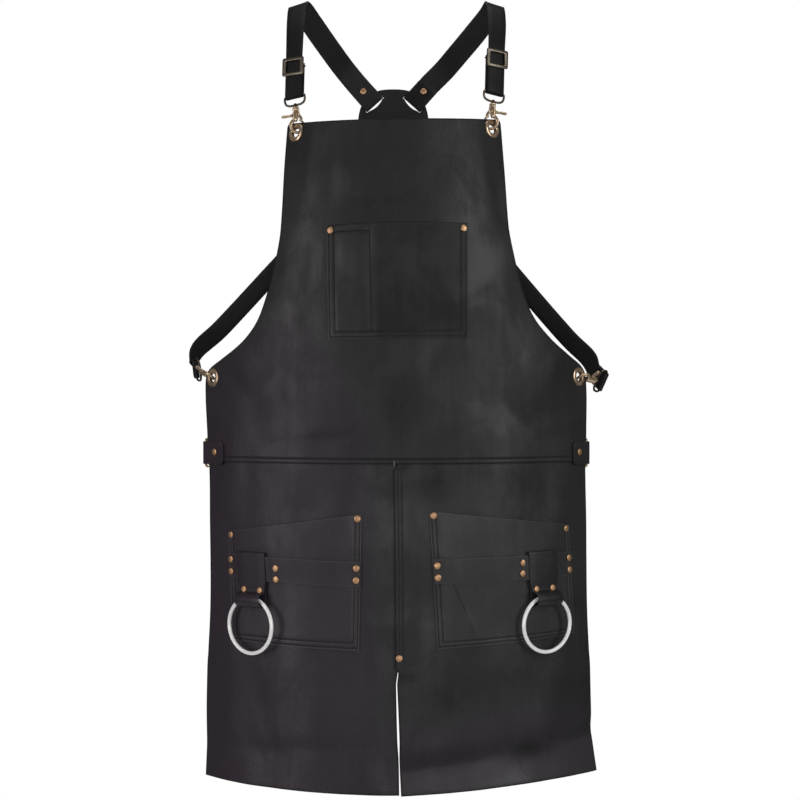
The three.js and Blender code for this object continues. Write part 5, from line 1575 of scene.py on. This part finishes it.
def make_straps(eyes):
    for strap, side, high, lean_side, lean_high, near in PATCH_STRAPS:
        is_right, is_shoulder = side > 0, high > 0
        name = ("bib_" if is_shoulder else "side_") + ("right" if is_right else "left")
        eye = eyes[name]
        fold_points, fold_way, rivet_at = patch_fold(side, high, lean_side, lean_high, near)
        front, out, at, up = eye_loop(eye)
        knots = strap_knots(is_right, is_shoulder, (front[-1], eye["bar_way"]), (fold_points[-1], fold_way))
        run_points, run_ways = smooth_run(knots, 9)
        rear = fold_points[::-1]
        rear_way = alike(fold_way, run_ways[-1])
        points = np.concatenate([front[:-1], run_points, rear[1:]])
        ways = np.concatenate([np.tile(eye["bar_way"], (len(front) - 1, 1)), run_ways,
                               np.tile(rear_way, (len(rear) - 1, 1))])
        behind = np.clip((points[:, 1] + 10) / 50, 0, 1) * is_shoulder
        wide = between(STRAP_WIDE, SHOULDER_WIDE, behind)
        shell = ribbon(points, ways, wide / 2, STRAP_THICK / 2)
        made = new_object(f"{strap}_leather", [shell], STRAP_LEATHER)
        # Of the sixteen points round a ribbon, the fourth to the eleventh are its upper half
        upper = np.repeat([0.0, 1.0, 0.0], [3, 8, 5])
        first_out = np.cross(points[1] - points[0], ways[0])
        paler = upper if np.dot(first_out, out) > 0 else 1 - upper
        # A strap's outer face is made paler as painted light, and side straps are lightened all over as
        # painted light
        set_mark(made, "wear_and_painted_light", np.maximum(0.9 * paler, 0.0 if is_shoulder else 0.4), len(points))
        finish_piece(made, "apron", "strap_leather", strap)
        layers = STRAP_THICK + GAP / 2
        add_rivet(rivet_at - np.array([0, layers + 0.05, 0]), (0, -1, 0), 2 * layers + 0.1)
        if is_shoulder:
            far = 43.5 if is_right else 37.5
            make_slider("right" if is_right else "left", at(far, EYE_TURN), out, up)


def make_patch():
    turn = np.linspace(0, 2 * math.pi, 97)[:-1]
    outline = []
    for x, y in zip(np.cos(turn), np.sin(turn)):
        outline.append((PATCH_HALF_WIDE * np.sign(x) * abs(x) ** (2 / PATCH_BOW),
                        PATCH_HALF_TALL * np.sign(y) * abs(y) ** (2 / PATCH_BOW)))
    slots = []
    for _, side, high, lean_side, lean_high, _ in PATCH_STRAPS:
        slot = []
        half = (SHOULDER_WIDE if high > 0 else STRAP_WIDE) / 2 + 0.4
        bow = [(0.8 * half * x, -SLOT_BELOW - SLOT_BOW * (1 - x * x)) for x in np.linspace(1, -1, 13)]
        corners = [(-half, -SLOT_BELOW), (-half, SLOT_ABOVE), (half, SLOT_ABOVE), (half, -SLOT_BELOW)]
        for x, y in corners + bow:
            slot.append((side + x * lean_high + y * lean_side, high - x * lean_side + y * lean_high))
        slots.append(slot)
    plate = flat_plate(outline, slots, PATCH_THICK / 2, 0.5)
    axes = np.array([[1.0, 0, 0], [0, 0, 1.0], [0, -1.0, 0]])
    patch = new_object("back_patch_leather", [moved(plate, axes, PATCH_CENTRE)], STRAP_LEATHER)
    # The patch is lightened all over as painted light
    set_mark(patch, "wear_and_painted_light", 0.9, len(patch.data.vertices))
    finish_piece(patch, "apron", "strap_leather", "back_patch")


# Geometry Nodes: rivets on points, stitches along seams
def node_tree(name, inputs):
    tree = bpy.data.node_groups.new(name, "GeometryNodeTree")
    add_socket(tree, "Geometry", "INPUT", "NodeSocketGeometry")
    for label, kind in inputs:
        add_socket(tree, label, "INPUT", kind)
    add_socket(tree, "Geometry", "OUTPUT", "NodeSocketGeometry")
    return tree, tree.nodes.new("NodeGroupInput").outputs, tree.nodes.new("NodeGroupOutput").inputs


def kept_value(tree, name, kind):
    """What each point keeps under a name."""
    node = add_node(tree, "GeometryNodeInputNamedAttribute", dict(data_type=kind), Name=name)
    return node.outputs["Attribute"]


def place_on(tree, points, shape, way, **scale):
    """Copies of a shape on points, turned to stand along a way."""
    whole = add_node(tree, "GeometryNodeObjectInfo", Object=shape)
    turn = add_node(tree, "FunctionNodeAlignRotationToVector", dict(axis="Z"), Vector=way)
    copies = add_node(tree, "GeometryNodeInstanceOnPoints", Points=points, Instance=whole.outputs["Geometry"],
                      Rotation=turn.outputs["Rotation"], **scale)
    return copies.outputs["Instances"]


def end_tree(tree, geometry, material, leave):
    plain = add_node(tree, "GeometryNodeRealizeInstances", Geometry=geometry)
    coat = add_node(tree, "GeometryNodeSetMaterial", Geometry=plain.outputs["Geometry"], Material=material)
    tree.links.new(coat.outputs["Geometry"], leave["Geometry"])


def make_rivet_tree():
    tree, enter, leave = node_tree("rivets_on_points", (
        ("Cap", "NodeSocketObject"), ("Shank", "NodeSocketObject"), ("Back Cap", "NodeSocketObject"),
        ("Metal", "NodeSocketMaterial")))
    points = enter["Geometry"]
    out = kept_value(tree, "out", "FLOAT_VECTOR")
    deep = kept_value(tree, "deep", "FLOAT")
    sink = add_node(tree, "ShaderNodeVectorMath", dict(operation="SCALE"), Vector=out,
                    Scale=add_math(tree, "MULTIPLY", deep, -1.0))
    behind = add_node(tree, "GeometryNodeSetPosition", Geometry=points, Offset=sink.outputs["Vector"])
    size = add_node(tree, "ShaderNodeCombineXYZ", X=1.0, Y=1.0, Z=deep)
    together = tree.nodes.new("GeometryNodeJoinGeometry")
    for copies in (place_on(tree, points, enter["Cap"], out),
                   place_on(tree, points, enter["Shank"], out, Scale=size.outputs["Vector"]),
                   place_on(tree, behind.outputs["Geometry"], enter["Back Cap"], out)):
        tree.links.new(copies, together.inputs["Geometry"])
    end_tree(tree, together.outputs["Geometry"], enter["Metal"], leave)
    return tree


def make_stitch_tree():
    tree, enter, leave = node_tree("stitches_along_seams", (
        ("Stitch", "NodeSocketObject"), ("Pitch", "NodeSocketFloat"), ("Thread", "NodeSocketMaterial")))
    line = add_node(tree, "GeometryNodeMeshToCurve", Mesh=enter["Geometry"])
    spaced = add_node(tree, "GeometryNodeResampleCurve", dict(mode="LENGTH"), Curve=line.outputs["Curve"],
                      Length=enter["Pitch"])
    ahead = tree.nodes.new("GeometryNodeInputTangent").outputs["Tangent"]
    copies = place_on(tree, spaced.outputs["Curve"], enter["Stitch"], ahead)
    end_tree(tree, copies, enter["Thread"], leave)
    return tree


def run_tree(obj, tree, values):
    """Runs a tree on an object with inputs given by name, and leaves a plain mesh."""
    modifier = obj.modifiers.new(tree.name, "NODES")
    modifier.node_group = tree
    for item in tree.interface.items_tree:
        if item.item_type == "SOCKET" and item.in_out == "INPUT" and item.name in values:
            modifier[item.identifier] = values[item.name]
    settle(obj)
    obj.data.shade_smooth()


def points_object(name, points, edges=()):
    mesh = bpy.data.meshes.new(name)
    mesh.from_pydata((np.asarray(points) * MM).tolist(), edges, [])
    return add_object(name, mesh)


def small_turned(name, profile, sides, material, sharp=38):
    """A small turned shape about the upright axis, to be copied onto points."""
    return new_object(name, [turned_solid(profile, (0, 0, 0), UP, sides)], material, sharp)


def make_rivets():
    dome = [(RIVET_RADIUS * 0.9, -0.2), (RIVET_RADIUS, 0.0), (RIVET_RADIUS, 0.45), (4.3, 0.85), (3.9, 1.12),
            (3.2, 1.36), (2.2, 1.54), (1.1, 1.63), (0.08, 1.65)]
    dish = [(0.08, -0.9), (1.6, -0.86), (3.0, -0.7), (3.6, -0.4), (3.8, 0.0), (3.5, 0.1)]
    cap_sides = 28
    cap = small_turned("cap", dome, cap_sides, COPPER)
    # Painted shade at the cap's outer rim
    rim = smoothstep(3.9, RIVET_RADIUS, np.array([radius for radius, _ in dome]))
    set_mark(cap, "painted_rim_shade", np.repeat(0.9 * rim, cap_sides), 1)
    # The shank is a metre long, so that a rivet's depth in metres is its scale
    shank = small_turned("shank", [(RIVET_SHANK, -1 / MM), (RIVET_SHANK, 0.0)], 16, COPPER)
    back = small_turned("back", dish, 24, COPPER)
    rivets = points_object("rivets_copper", [rivet[0] for rivet in RIVETS])
    out = rivets.data.attributes.new("out", "FLOAT_VECTOR", "POINT")
    out.data.foreach_set("vector", np.array([rivet[1] for rivet in RIVETS], np.float32).ravel())
    deep = rivets.data.attributes.new("deep", "FLOAT", "POINT")
    deep.data.foreach_set("value", np.array([rivet[2] * MM for rivet in RIVETS], np.float32))
    run_tree(rivets, make_rivet_tree(), {"Cap": cap, "Shank": shank, "Back Cap": back, "Metal": COPPER})
    rivets.data.set_sharp_from_angle(angle=math.radians(45))
    for shape in (cap, shank, back):
        bpy.data.objects.remove(shape)
    finish_piece(rivets, "apron", "copper_rivet", *rivet_nodes())


def make_stitches():
    shape = ((0.3, -1), (0.85, -0.7), (1, 0), (0.85, 0.7), (0.3, 1))
    profile = [(STITCH_RADIUS * radius, STITCH_HALF_LONG * along) for radius, along in shape]
    stitch = small_turned("stitch", profile, 6, THREAD, 80)
    tree = make_stitch_tree()
    for name, paths in SEAM_PATHS.items():
        points = np.concatenate(paths)
        edges = []
        start = 0
        for path in paths:
            edges.extend((start + i, start + i + 1) for i in range(len(path) - 1))
            start += len(path)
        seam = points_object(f"stitches_{name}", points, edges)
        run_tree(seam, tree, {"Stitch": stitch, "Pitch": STITCH_PITCH * MM, "Thread": THREAD})
        finish_piece(seam, "apron", "apron_leather")
    bpy.data.objects.remove(stitch)


def make_bar_tack_and_glint():
    """A short bar of pale thread where the waist seam meets the middle seam; its paleness is partly a painted
    glint.
    """
    high = np.linspace(WAIST_SEAM - 2.5, WAIST_SEAM - 8.5, 9)
    path = on_body(-3.4, high, BIB_FRONT + 0.15)
    tack = new_object("bar_tack", [round_wire(path, 0.62, 10, (0, -1.0, 0))], PALE_THREAD_AND_GLINT)
    finish_piece(tack, "apron", "apron_leather")


# The stage in metres: floor, camera, and lights by name, place, target, size, power and colour
LIGHTS = (
    ("left", (-2.1, -1.5, -0.3), (0, -0.02, -0.6), (1.1, 2.0), 19.8, (1.0, 0.96, 0.99)),
    ("right", (2.1, -1.6, 0.1), (0, -0.02, -0.45), (1.0, 2.0), 21.5, (0.99, 1.0, 1.0)),
    ("front", (0.2, -2.6, -0.7), (0, -0.05, -0.7), (1.6, 0.9), 12, (1, 1, 1)),
    ("top", (0.0, -0.3, 1.5), (0, 0, -0.4), (1.6, 1.0), 13, (1, 1, 1)),
    ("back", (0.2, 2.2, 0.3), (0, 0, -0.5), (1.8, 1.6), 22, (1, 1, 1)),
)
WHITE = (1, 1, 1, 1)
FLOOR_HALF = 1.0
FLOOR_HIGH = -1.4
CAMERA_AT = (0.00375, -2.115, -0.520)
CAMERA_LENS = 72
CAMERA_SENSOR = 36


def add_light(name, place, target, size, power, colour):
    light = bpy.data.lights.new(name, "AREA")
    light.shape = "RECTANGLE"
    light.size, light.size_y = size
    light.energy = power
    light.color = colour
    lamp = add_object(name, light)
    lamp.location = place
    lamp.rotation_euler = (Vector(target) - Vector(place)).to_track_quat("-Z", "Y").to_euler()


def make_floor():
    corners = [(x * FLOOR_HALF, y * FLOOR_HALF, FLOOR_HIGH) for x, y in ((-1, -1), (1, -1), (1, 1), (-1, 1))]
    floor_mesh = bpy.data.meshes.new("floor")
    floor_mesh.from_pydata(corners, [], [(0, 1, 2, 3)])
    floor = add_object("floor", floor_mesh)
    pale, _, shader = start_finish("pale_floor")
    shader.inputs["Base Color"].default_value = (0.86, 0.86, 0.86, 1)
    shader.inputs["Roughness"].default_value = 0.9
    floor_mesh.materials.append(pale)


def make_studio():
    """A background that is seen as white but gives only a little light."""
    world = bpy.data.worlds.new("studio")
    bpy.context.scene.world = world
    world.use_nodes = True
    sky = world.node_tree
    seen = sky.nodes["Background"]
    seen.inputs["Color"].default_value = WHITE
    seen.inputs["Strength"].default_value = 1.0
    soft = add_node(sky, "ShaderNodeBackground", Color=WHITE, Strength=0.16)
    rays = sky.nodes.new("ShaderNodeLightPath")
    either = add_node(sky, "ShaderNodeMixShader", Fac=rays.outputs["Is Camera Ray"])
    sky.links.new(soft.outputs["Background"], either.inputs[1])
    sky.links.new(seen.outputs["Background"], either.inputs[2])
    sky.links.new(either.outputs["Shader"], sky.nodes["World Output"].inputs["Surface"])


def make_camera():
    camera = bpy.data.cameras.new("camera")
    camera.sensor_width = CAMERA_SENSOR
    camera.lens = CAMERA_LENS
    viewer = add_object("camera", camera)
    viewer.location = CAMERA_AT
    viewer.rotation_euler = (math.radians(90), 0, 0)
    bpy.context.scene.camera = viewer
    bpy.context.scene.view_settings.view_transform = "Standard"


make_floor()
make_studio()
for light_row in LIGHTS:
    add_light(*light_row)
make_camera()
make_bib()
make_skirts()
make_pockets()
make_bands()
make_hangers()
make_tabs()
place_rivets()
GROMMET_FRAMES = make_grommets()
EYES = make_clasps(GROMMET_FRAMES)
make_patch()
make_straps(EYES)
make_bar_tack_and_glint()
make_rivets()
make_stitches()
